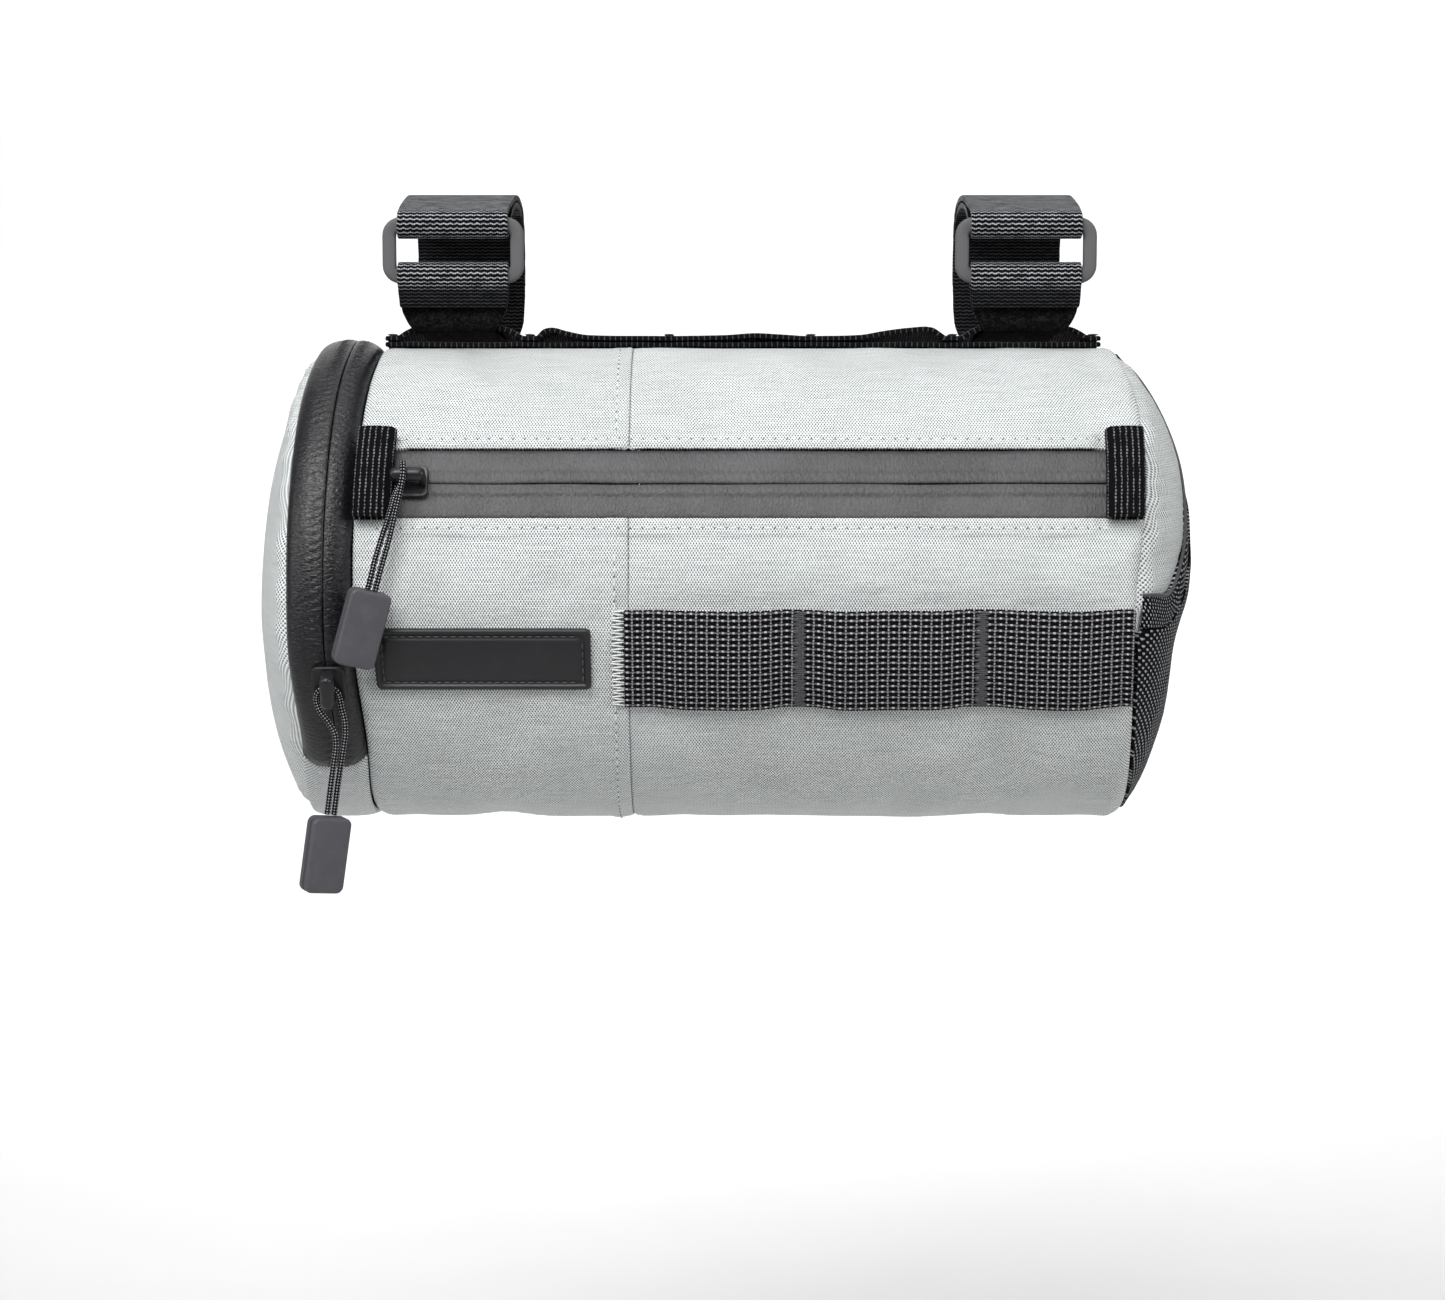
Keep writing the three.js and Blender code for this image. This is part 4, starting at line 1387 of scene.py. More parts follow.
@dataclass(frozen=True)
class ZipSlider:
    """Slider with a rounded bridge that its cord runs under."""

    name: str
    x: float
    angle: float
    height: float
    spin: float
    length: float = 9.8
    width: float = 8.6
    plate: float = 1.3
    bridge_radius: float = 1.8
    bridge_length: float = 8.6
    bridge_rise: float = 5.2
    post: float = 1.4
    corner: float = 1.6
    edge: float = 0.35
    # How far the bridge and its posts reach into the plate
    rooted: float = 0.3
    # Distance from the bridge's end, then share of its radius
    bridge_rows: Rows = ((0.0, 0.0), (0.0, 0.5), (0.25, 0.8), (0.9, 0.96), (1.8, 1.0))

    def build(self) -> None:
        """Makes the plate, the bridge and the posts, and stands them on the zip."""
        mesh = self.plate_mesh()
        join(mesh, self.bridge_mesh())
        low = self.plate - self.rooted
        for side in Side:
            post = round_box((self.post, self.bridge_radius * 1.7, self.bridge_rise - low), 0.3, 2)
            spot = (side.value * (self.bridge_length - self.post) / 2, 0, (low + self.bridge_rise) / 2)
            bmesh.ops.translate(post, vec=spot, verts=post.verts)
            join(mesh, post)
        seat = Matrix.Translation(BARREL.point(self.x, self.angle, self.height))
        lean = Matrix.Rotation((90 - self.angle) * DEGREE, 4, "X")
        spin = Matrix.Rotation(self.spin * DEGREE, 4, "Z")
        bmesh.ops.transform(mesh, matrix=seat @ lean @ spin, verts=mesh.verts)
        make_piece(f"{self.name}_casting", mesh, SLIDER_METAL, [self.name], sharp=50)

    def plate_mesh(self) -> Mesh:
        """Makes the plate with rounded corners and a sunk top.

        Returns:
            The plate, lying on the origin.
        """
        mesh = box((self.length, self.width, self.plate))
        bmesh.ops.translate(mesh, vec=(0, 0, self.plate / 2), verts=mesh.verts)
        bevel(mesh, edges_along(mesh, 2, 0.5), self.corner, 5)
        bevel(mesh, rims(mesh), self.edge, 3)
        top = max((face for face in mesh.faces if face.normal.z > 0.9), key=lambda face: face.calc_area())
        bmesh.ops.inset_region(mesh, faces=[top], thickness=0.7, depth=-0.2)
        return mesh

    def bridge_mesh(self) -> Mesh:
        """Makes the bridge, rounded at both ends.

        Returns:
            The bridge at its height over the plate.
        """
        half = self.bridge_length / 2
        left = [(-half + along, share) for along, share in self.bridge_rows]
        right = [(half - along, share) for along, share in reversed(self.bridge_rows)]
        rows = [*left, (0, 1.0), *right]
        bridge = lathe([(x, share * self.bridge_radius) for x, share in rows], 20)
        bmesh.ops.translate(bridge, vec=(0, 0, self.bridge_rise), verts=bridge.verts)
        return bridge


@dataclass(frozen=True)
class BodyPanels:
    """Light cloth round the barrel, open along the front zip."""

    step_along: float = 0.95
    step_round: float = 1.9
    near_seam: Sequence[float] = (0.0, 0.3, 0.8, 1.5, 2.4, 3.4, 4.6)
    near_zip: Sequence[float] = (0.0, 0.25, 0.6, 1.2, 2.0, 2.8, 3.6, 4.2, 4.6, 5.0, 5.8)
    settle_step: float = 3.6
    wall: float = 2.2
    hem: float = 4.6
    hem_rise: float = 0.5
    fell: float = 4.8
    fell_rise: float = 0.35
    # Distance of the stitches from the zip and from the middle seam, and from the end seams
    hem_stitches: float = 2.6
    fell_stitches: float = 3.4
    unsewn: float = 6.0
    pitch: float = 3.0
    # Last angle of the upper row along the middle seam, and the turn of the lower row
    fell_top: float = 88.0
    fell_turn: float = 100.0
    # Soft dents and swells: x, angle, half width, half turn, height
    swells: Rows = (
        (-60, 8, 26, 9, 0.35), (30, 8, 60, 9, 0.4), (-14, -38, 9, 12, 0.7), (3, -46, 6, 14, -0.9),
        (20, -42, 9, 11, 1.0), (38, -50, 6, 12, -1.1), (55, -41, 8, 10, 1.0), (70, -50, 5, 13, -1.1),
        (84, -42, 6, 12, 0.8), (-50, -48, 14, 12, 0.6), (-75, -44, 7, 14, -0.7), (95, 4, 5, 6, -0.9),
        (93, 68, 5, 10, -1.3), (86, 74, 5, 8, 0.5), (-88, 10, 6, 6, -0.6), (-60, 66, 20, 12, 0.3),
        (30, 66, 40, 12, 0.3),
    )
    # Places that the cloth stays under: low x, high x, low angle, high angle
    covered: Rows = (
        (-30, 101, -25.5, 1.0), (-92.5, -36, -21.0, -3.0), (-98, 99, 89.0, 114.0),
        (-98, -86, 16.5, 43.0), (90, 102, 16.5, 43.0),
    )

    @cached_property
    def settled(self) -> SettledCloth:
        """Lets the cloth of the whole barrel settle.

        Returns:
            Its heights.
        """
        def held(x: float, angle: float) -> float:
            """Share to which seams, hems and pieces on top hold the cloth.

            Args:
                x: Place along the barrel.
                angle: Angle round the barrel.

            Returns:
                A share from 0 to 1.
            """
            return max(
                smooth_step(6, 2, BARREL.from_zip(angle)),
                smooth_step(4, 1, BARREL.from_seam(x)),
                0.9 * smooth_step(4, 1, abs(x - BARREL.middle_seam)),
                0.9 * self.cover(x, half_turn(angle)),
            )

        along = stations(BARREL.left_seam, BARREL.right_seam, self.settle_step)
        across = stations(BARREL.cloth_start, BARREL.cloth_end, self.settle_step / BARREL.degree)
        return ClothTest().run(along, across, BARREL.point, held)

    def cover(self, x: float, turned: float) -> float:
        """Tells how far something lies over the cloth and holds it down.

        Args:
            x: Place along the barrel.
            turned: Angle round the barrel, from -180 to 180.

        Returns:
            A share from 0 to 1.
        """
        return max(
            smooth_step(low - 2.5, low, x)
            * smooth_step(high + 2.5, high, x)
            * smooth_step(under - 2.5, under, turned)
            * smooth_step(over + 2.5, over, turned)
            for low, high, under, over in self.covered
        )

    def folds(self, x: float, angle: float) -> float:
        """Height of the settled cloth with its dents and swells.

        Args:
            x: Place along the barrel.
            angle: Angle round the barrel, from the upper zip edge on.

        Returns:
            The height in millimetres.
        """
        spot = BARREL.point(x, angle)
        height = self.settled.at(x, angle)
        height += 0.3 * crumple(spot, 38, 3.1) + 0.14 * crumple(spot, 13, 7.7)
        for centre, at, width, turn, rise in self.swells:
            height += rise * hump(x, centre, width) * hump(half_turn(angle), at, turn)
        return height

    def relief(self, x: float, angle: float) -> float:
        """Height of the cloth above the barrel, with its hems and seams.

        Args:
            x: Place along the barrel.
            angle: Angle round the barrel, from the upper zip edge on.

        Returns:
            The height in millimetres.
        """
        spot = BARREL.point(x, angle)
        height = self.folds(x, angle)
        edge = BARREL.from_zip(angle)
        hem = smooth_step(self.hem + 0.4, self.hem - 0.4, edge)
        pucker = math.sin(x * 2.09 + 1.5 * crumple(spot, 9, 1.3))
        height = height * (1 - 0.75 * hem) + self.hem_rise * hem
        height += 0.14 * pucker * hump(edge, 1.2, 1.6)
        height -= 0.22 * hump(edge, self.hem_stitches, 0.5)
        height -= 0.45 * smooth_step(0.9, 0.0, edge)
        middle = abs(x - BARREL.middle_seam)
        if x < BARREL.middle_seam:
            height += self.fell_rise * smooth_step(self.fell + 0.5, self.fell - 0.3, middle)
        height += 0.12 * math.sin(angle * 1.9 + 4 * crumple(spot, 8, 5.2)) * hump(middle, 2.6, 2.6)
        height -= 0.4 * smooth_step(0.7, 0.0, middle)
        inside = self.cover(x, half_turn(angle))
        height = min(height, height * (1 - inside) - 0.15 * inside)
        reach = BARREL.from_seam(x)
        gather = math.sin(angle * 1.35 + 5 * crumple(spot, 20, 9.4))
        height += 0.22 * gather * hump(reach, 4.0, 3.2) * (1 if height > -0.1 else 0)
        return height - BARREL.roll(reach)

    def on(self, x: float, angle: float, height: float = 0.0) -> Vector:
        """Point on the cloth, or at a height over it."""
        return BARREL.point(x, angle, self.relief(x, angle) + height)

    def panel(self, name: str, left: float, right: float) -> None:
        """Makes one panel between two seams.

        Args:
            name: Node that it replaces.
            left: X of its left seam.
            right: X of its right seam.
        """
        near_zip = [distance / BARREL.degree for distance in self.near_zip]
        mesh = cloth_grid(
            graded(left, right, self.near_seam, 1.6, self.step_along),
            graded(BARREL.cloth_start, BARREL.cloth_end, near_zip, 1.6, self.step_round / BARREL.degree),
            self.on,
            lambda x, angle: (x, angle * BARREL.degree),
        )
        piece = make_piece(f"{name}_cloth", mesh, LIGHT_FABRIC, [name])
        thicken(piece, self.wall)

    def build(self) -> None:
        """Makes both panels and their seam threads."""
        self.panel("body_panel_left", BARREL.left_seam, BARREL.middle_seam - 0.03)
        self.panel("body_panel_right", BARREL.middle_seam + 0.03, BARREL.right_seam)
        self.threads()

    def threads(self) -> None:
        """Sews the zip hems and the middle seam."""
        # Painted shade: small dark bodies in the needle holes beside the stitches
        mesh, hole_shade = bmesh.new(), bmesh.new()
        upper = BARREL.cloth_start + self.hem_stitches / BARREL.degree
        lower = BARREL.cloth_end - self.hem_stitches / BARREL.degree
        first = BARREL.left_seam + self.unsewn
        for angle in (upper, lower):
            def line(distance: float) -> Vector:
                """Point along a hem of the zip."""
                return self.on(first + distance, angle, 0.04)
            span = BARREL.right_seam - self.unsewn - first
            stitch_line(mesh, line, span, self.pitch, 0.24, hole_shade)
        x = BARREL.middle_seam - self.fell_stitches
        for start, end in ((upper + 3, self.fell_top), (lower - self.fell_turn, lower - 3)):
            def seam(distance: float) -> Vector:
                """Point along the middle seam."""
                return self.on(x, start + distance / BARREL.degree, 0.04)
            stitch_line(mesh, seam, (end - start) * BARREL.degree, self.pitch, 0.22, hole_shade)
        make_piece("panel_seam_threads", mesh, LIGHT_THREAD)
        make_piece("panel_needle_holes", hole_shade, NEEDLE_HOLE_SHADE)


@dataclass(frozen=True)
class FrontZip:
    """Two coated tapes that meet over the zip's teeth."""

    recess: float = 1.0
    thickness: float = 1.5
    # Distance from the meeting line, then height over the flat tape
    section: Rows = (
        (0.0, -0.35), (0.3, 0.02), (0.8, 0.2), (1.8, 0.34), (2.8, 0.3), (3.5, 0.02), (4.2, -0.08),
        (5.2, 0.04), (7.0, 0.1), (9.8, 0.0),
    )
    # Distances from the meeting line at which a tape has points
    across: Sequence[float] = (
        0.08, 0.2, 0.4, 0.7, 1.1, 1.6, 2.1, 2.6, 3.0, 3.4, 3.8, 4.3, 5.0, 6.0, 7.2, 8.5, 9.6)

    def build(self) -> None:
        """Makes the upper and the lower tape."""
        for name, sign in (("front_zip_tape_upper", 1), ("front_zip_tape_lower", -1)):
            self.tape(name, sign)

    def tape(self, name: str, sign: int) -> None:
        """Makes one tape.

        Args:
            name: Node that it replaces.
            sign: 1 for the upper tape and -1 for the lower.
        """
        def place(x: float, distance: float) -> Vector:
            """Point of the tape.

            Args:
                x: Place along the barrel.
                distance: Distance above the meeting line, or below it where negative.

            Returns:
                The point in millimetres.
            """
            spot = BARREL.point(x, BARREL.zip_angle)
            sway = 0.25 * crumple(spot, 30, 2.2)
            height = read_curve(self.section, abs(distance)) - self.recess
            height += 0.1 * crumple(Vector((x, distance * 2, sign * 5)), 6, 4.4)
            ridge = math.sin((x + 0.5 * distance) * 3.3 + 2.5 * crumple(Vector((x, distance, 1)), 7, 0.4))
            height += 0.1 * ridge * hump(abs(distance), 2.4, 1.5)
            height += 0.25 * crumple(Vector((x, sign * 9, distance * 2)), 16, 8.1)
            height -= BARREL.roll(BARREL.from_seam(x))
            shift = sway * smooth_step(9, 3, abs(distance))
            return BARREL.point(x, BARREL.zip_angle + (distance + shift) / BARREL.degree, height)

        across = [sign * distance for distance in self.across]
        mesh = cloth_grid(
            stations(BARREL.left_seam, BARREL.right_seam, 0.5),
            across if sign > 0 else across[::-1],
            place,
            lambda x, distance: (distance, x),
        )
        piece = make_piece(f"{name}_coat", mesh, ZIP_TAPE, [name])
        thicken(piece, self.thickness)


@dataclass(frozen=True)
class ZipTabs:
    """Folded webbing loops at both ends of the front zip."""

    width: float = 23.8
    lift: float = 1.5
    length: float = 9.8
    rise: float = 4.1
    arch: float = 0.25
    thickness: float = 1.5

    def build(self) -> None:
        """Makes both loops."""
        for side in Side:
            self.loop(side)

    def loop(self, side: Side) -> None:
        """Makes one loop from a strip that runs out, turns and comes back.

        Args:
            side: End of the bag that it is sewn into.
        """
        half = self.thickness / 2
        low = 0.3 + half
        bend = (self.rise - self.thickness) / 2
        straight = self.length - bend - half
        route = [(s, low) for s in stations(0, straight, 1.0)]
        route += [
            (straight + bend * math.sin(t * DEGREE), low + bend - bend * math.cos(t * DEGREE))
            for t in stations(15, 165, 15)
        ]
        route += [
            (s, low + 2 * bend + self.arch * math.sin(math.pi * s / straight))
            for s in stations(straight, 0.2, 1.0)
        ]
        lengths = distances(route)
        seam = BARREL.seam(side)
        half_angle = self.width / 2 / BARREL.degree
        middle = BARREL.zip_angle + self.lift

        def place(k: float, angle: float) -> Vector:
            """Point of the loop.

            Args:
                k: Number of the point on its route.
                angle: Angle round the barrel.

            Returns:
                The point in millimetres.
            """
            out, height = route[int(k)]
            edge = abs(angle - middle) / half_angle
            return BARREL.point(seam - side.value * out, angle, height - 0.2 * edge**6)

        order = [float(k) for k in range(len(route))]
        mesh = cloth_grid(
            order if side is Side.RIGHT else order[::-1],
            stations(middle - half_angle, middle + half_angle, 1.2),
            place,
            lambda k, angle: (angle * BARREL.degree, lengths[int(k)]),
        )
        piece = make_piece(f"zip_tab_{side.word}_webbing", mesh, TAB_WEBBING, [f"zip_tab_{side.word}"])
        thicken(piece, self.thickness, offset=0.0, soften=0.35)


@dataclass(frozen=True)
class SideZip:
    """Coated band with a zip round the left end, and the light cloth below it."""

    share: float = 0.42
    end_angle: float = -41.0
    rise: float = 2.0
    lower_rise: float = 0.6
    wall: float = 2.2
    gap: float = 0.08
    # Half of the slit between the tapes, as a share, and the joint below the band in degrees
    slit: float = 0.004
    joint: float = 0.28
    # Shares of the width at which the strips have points
    inner: Sequence[float] = (0, 0.02, 0.05, 0.09, 0.14, 0.2, 0.26, 0.32, 0.37, 0.395, 0.41)
    outer: Sequence[float] = (
        0.43, 0.445, 0.47, 0.52, 0.58, 0.65, 0.72, 0.79, 0.85, 0.9, 0.94, 0.97, 1)
    lower: Sequence[float] = (
        0, 0.03, 0.08, 0.15, 0.25, 0.35, 0.45, 0.55, 0.65, 0.75, 0.85, 0.92, 0.97, 1)
    # Share of the width from the seam on, then share of the rise
    section: Rows = (
        (0.0, -0.75), (0.05, -0.15), (0.13, 0.42), (0.25, 0.8), (0.38, 0.99), (0.41, 0.93), (0.42, 0.84),
        (0.43, 0.93), (0.47, 1.02), (0.6, 1.0), (0.76, 0.84), (0.88, 0.45), (0.95, 0.0), (1.0, -0.6),
    )

    def place(self, share: float, angle: float, rise: float) -> Vector:
        """Point of the band.

        Args:
            share: Share of the width from the seam towards the end.
            angle: Angle round the barrel.
            rise: Height of the band's crown.

        Returns:
            The point in millimetres.
        """
        x = BARREL.left_seam - self.gap - share * (BARREL.gusset - self.gap)
        spot = BARREL.point(x, angle)
        height = read_curve(self.section, share) * rise
        height += 0.3 * crumple(spot, 24, 5.5) * math.sin(math.pi * share)
        if rise > 1:
            aside = (share - self.share) * BARREL.gusset
            along = angle * BARREL.degree + 0.7 * abs(aside)
            ridge = math.sin(along * 2.9 + 2.2 * crumple(Vector((x, along, 3)), 6, 6.1))
            height += 0.25 * ridge * hump(abs(aside), 2.4, 1.3)
        return BARREL.point(x, angle, height)

    def build(self) -> None:
        """Makes the two tapes and the cloth below them."""
        last = 180 - self.end_angle
        inner = [*self.inner, self.share - self.slit]
        outer = [self.share + self.slit, *self.outer]
        self.strip("side_zip_tape_inner", inner, SIDE_TAPE, self.end_angle, last)
        self.strip("side_zip_tape_outer", outer, SIDE_TAPE, self.end_angle, last)
        start, end = last + self.joint, 360 + self.end_angle - self.joint
        self.strip("gusset_lower", self.lower, LIGHT_FABRIC, start, end)
        self.threads()

    def strip(self, name: str, shares: Sequence[float], finish: Finish, start: float, end: float) -> None:
        """Makes one strip round part of the gusset.

        Args:
            name: Node that it replaces.
            shares: Stations across, from the seam towards the end.
            finish: Its finish.
            start: First angle.
            end: Last angle.
        """
        coated = finish is SIDE_TAPE
        rise = self.rise if coated else self.lower_rise
        outward = 1 if coated else -1

        def place(share: float, angle: float) -> Vector:
            """Point of the strip, whose ends are pointed and dip.

            Args:
                share: Share of the width from the seam towards the end.
                angle: Angle round the barrel.

            Returns:
                The point in millimetres.
            """
            near = min(angle - start, end - angle)
            dip = 1 - 0.45 * smooth_step(2.5, 0.0, near)
            sign = -outward if angle - start < end - angle else outward
            return self.place(share, angle + sign * self.bend(share) * smooth_step(14, 0, near), rise * dip)

        mesh = cloth_grid(
            shares[::-1], stations(start, end, 0.45 if coated else 1.2), place,
            lambda share, angle: (-share * BARREL.gusset, angle * BARREL.degree))
        piece = make_piece(f"{name}_cloth", mesh, finish, [name])
        thicken(piece, self.wall)

    def bend(self, share: float) -> float:
        """Degrees by which the band's pointed end reaches past a straight one."""
        return 2.6 * min(1.0, 1.5 * math.sin(math.pi * min(1.0, max(0.0, share)))) - 1.0

    def threads(self) -> None:
        """Sews the ends of the band to the cloth below it."""
        mesh = bmesh.new()
        lift = Vector((0, -0.05, -0.05))
        for way, angle in ((-1, self.end_angle - 3.2), (1, 180 - self.end_angle + 3.2)):
            def line(distance: float) -> Vector:
                """Point along an end of the band."""
                share = 0.04 + distance / BARREL.gusset
                return self.place(share, angle + way * self.bend(share), self.lower_rise * 0.9) + lift
            stitch_line(mesh, line, BARREL.gusset * 0.9, 2.6, 0.24)
        make_piece("gusset_threads", mesh, LIGHT_THREAD)


@dataclass(frozen=True)
class Dome:
    """Domed end of the bag: the fullness of its upper and lower half."""

    side: Side
    depth: float
    lower_depth: float
    upper_power: float
    lower_power: float
    blend_from: float
    blend_to: float
    gap: float = 0.3

    @property
    def radius(self) -> float:
        """Radius at the seam."""
        return BARREL.radius - BARREL.seam_roll

    def fullness(self, back: float, up: float) -> float:
        """Depth of the dome.

        Args:
            back: Distance behind the barrel's axis.
            up: Height over the barrel's axis.

        Returns:
            The depth in millimetres.
        """
        share = min(1.0, math.hypot(back, up) / self.radius)
        blend = smooth_step(self.blend_from, self.blend_to, up / BARREL.radius)
        upper = self.depth * (1 - share**self.upper_power)
        lower = self.lower_depth * (1 - share**self.lower_power)
        return lower + (upper - lower) * blend

    def point(self, back: float, up: float, height: float = 0.0) -> Vector:
        """Point on the end.

        Args:
            back: Distance behind the barrel's axis.
            up: Height over the barrel's axis.
            height: Height over the end's cloth.

        Returns:
            The point in millimetres.
        """
        angle = math.atan2(up, -back) / DEGREE
        share = min(1.0, math.hypot(back, up) / self.radius)
        gusset = BARREL.gusset if self.side is Side.LEFT else 0.0
        seam = BARREL.seam(self.side) + self.side.value * (gusset + self.gap)
        plane = seam + (BARREL.bowed(seam, angle) - seam) * share**2
        x = plane + self.side.value * (self.fullness(back, up) + height)
        return Vector((x, BARREL.axis_y + back, BARREL.axis_z + up))


LEFT_DOME = Dome(Side.LEFT, 11.4, 11.4, 1.9, 2.8, -0.5, 0.3)
RIGHT_DOME = Dome(Side.RIGHT, 14.8, 11.7, 3.6, 3.0, -0.26, 0.03)


@dataclass(frozen=True)
class SidePocket:
    """Black pocket on the right end, with a wide hem along its slanting mouth."""

    # Share of the mouth, then the height of the hem's top over the end's cloth
    stand: Rows = ((-0.055, 0.5), (-0.01, 2.1), (0.12, 2.7), (0.35, 1.5), (0.7, 1.2), (0.93, 1.0), (1, 0.5))
    thickness: float = 1.2
    hem_width: float = 9.0
    gap: float = 0.3
    piping: float = 0.45
    # Shares at which the mouth runs into the seam, before and past its curve
    ends: tuple[float, float] = (-0.055, 1.0)
    # Degrees by which the pocket's corners turn on along the seam
    corners: tuple[float, float] = (1.0, 9.5)
    # Mouth of the pocket on the end, as shares of the end's radius: back and up
    mouth: Rows = ((-0.965, 0.05), (-0.84, 0.06), (-0.62, 0.27), (-0.36, 0.55), (-0.13, 0.79), (0.0, 0.955))
    # Share of the mouth, then its slant in degrees
    slants: Rows = ((0, 3), (0.2, 24), (0.4, 42), (1, 52))
    mouth_length: float = 92.0
    # Shares of the way from the hem to the seam at which the pocket has points
    shares: Sequence[float] = (
        0, 0.02, 0.05, 0.1, 0.17, 0.25, 0.34, 0.43, 0.52, 0.61, 0.7, 0.78, 0.85, 0.91, 0.95, 0.975, 0.99, 1)

    @cached_property
    def curve(self) -> list[Vector]:
        """Points of the mouth's curve."""
        return smooth_path([Vector((back, up, 0)) * RIGHT_DOME.radius for back, up in self.mouth], 24)

    def on_mouth(self, share: float, below: float) -> Vector:
        """Point along the mouth's curve, moved down into the pocket.

        Args:
            share: Share of the curve from the front to the top.
            below: Distance below the curve.

        Returns:
            Its place on the end, as back and up.
        """
        place = share * (len(self.curve) - 1)
        low = max(0, min(int(place), len(self.curve) - 2))
        spot = self.curve[low].lerp(self.curve[low + 1], place - low)
        slant = read_curve(self.slants, share) * DEGREE
        return spot + Vector((math.sin(slant), -math.cos(slant), 0)) * below

    def build(self) -> None:
        """Makes the hem, the pocket and the piping."""
        self.hem()
        self.body()
        self.edge()

    def hem(self) -> None:
        """Makes the hem."""
        def place(below: float, share: float) -> Vector:
            """Point of the hem.

            Args:
                below: Distance below the mouth.
                share: Share of the mouth from the front to the top.

            Returns:
                The point in millimetres.
            """
            flat = self.on_mouth(share, below)
            if flat.length > RIGHT_DOME.radius:
                flat = flat.normalized() * RIGHT_DOME.radius
            swell = 0.3 * math.sin(math.pi * below / self.hem_width)
            swell += 0.2 * crumple(Vector((flat.x, flat.y, 5)), 8, 3.3)
            swell -= 0.35 * hump(below, 2.6, 0.6)
            return RIGHT_DOME.point(flat.x, flat.y, read_curve(self.stand, share) + swell)

        mesh = cloth_grid(
            stations(0, self.hem_width, 0.9), stations(*self.ends, 0.02), place,
            lambda below, share: (share * self.mouth_length, -below))
        piece = make_piece("side_pocket_hem_cloth", mesh, POCKET_WEAVE, ["side_pocket_hem"])
        self.face_out(piece)
        thicken(piece, self.thickness, soften=0.35)

    def body(self) -> None:
        """Makes the pocket below its hem."""
        first = self.on_mouth(self.ends[0], self.hem_width + self.gap)
        last = self.on_mouth(self.ends[1], self.hem_width + self.gap)
        first_angle = math.atan2(first.y, -first.x) - self.corners[0] * DEGREE
        last_angle = math.atan2(last.y, -last.x) - 2 * math.pi - self.corners[1] * DEGREE
        radius = RIGHT_DOME.radius
        reach = self.ends[1] - self.ends[0]

        def place(out: float, share: float) -> Vector:
            """Point of the pocket.

            Args:
                out: Share of the way from the hem to the seam.
                share: Share of the pocket's width from its front corner on.

            Returns:
                The point in millimetres.
            """
            top = self.on_mouth(self.ends[0] + reach * share, self.hem_width + self.gap)
            if top.length > radius - self.gap:
                top = top.normalized() * (radius - self.gap)
            angle = first_angle + (last_angle - first_angle) * share
            rim = Vector((-math.cos(angle), math.sin(angle), 0)) * radius
            flat = top.lerp(rim, out)
            near = smooth_step(1.0, 0.9, flat.length / radius)
            swell = near * (0.9 * crumple(Vector((flat.x, flat.y, 9)), 26, 6.6) + 0.5)
            swell += 0.3 * near * crumple(Vector((flat.x, flat.y, 2)), 7, 1.6)
            rise = read_curve(self.stand, self.ends[0] + reach * share) * (1 - out) + 0.8 * out
            return RIGHT_DOME.point(flat.x, flat.y, rise - 0.2 + swell)

        mesh = cloth_grid(
            self.shares, stations(0, 1, 0.008), place, lambda out, share: tuple(place(out, share).yz))
        piece = make_piece("side_pocket_cloth", mesh, POCKET_WEAVE, ["side_pocket"])
        self.face_out(piece)
        thicken(piece, self.thickness, soften=0.4, even=False)

    def edge(self) -> None:
        """Makes the thin piping along the mouth."""
        path = []
        for share in stations(*self.ends, 0.0125):
            flat = self.on_mouth(share, 0.4)
            path.append(RIGHT_DOME.point(flat.x, flat.y, read_curve(self.stand, share) + 0.05))
        make_piece("side_pocket_piping", tube(path, self.piping, 8), DARK_THREAD)

    def face_out(self, piece: Piece) -> None:
        """Turns the faces of a piece to the right if they point to the left."""
        if sum(p.normal.x for p in piece.data.polygons) < 0:
            piece.data.flip_normals()


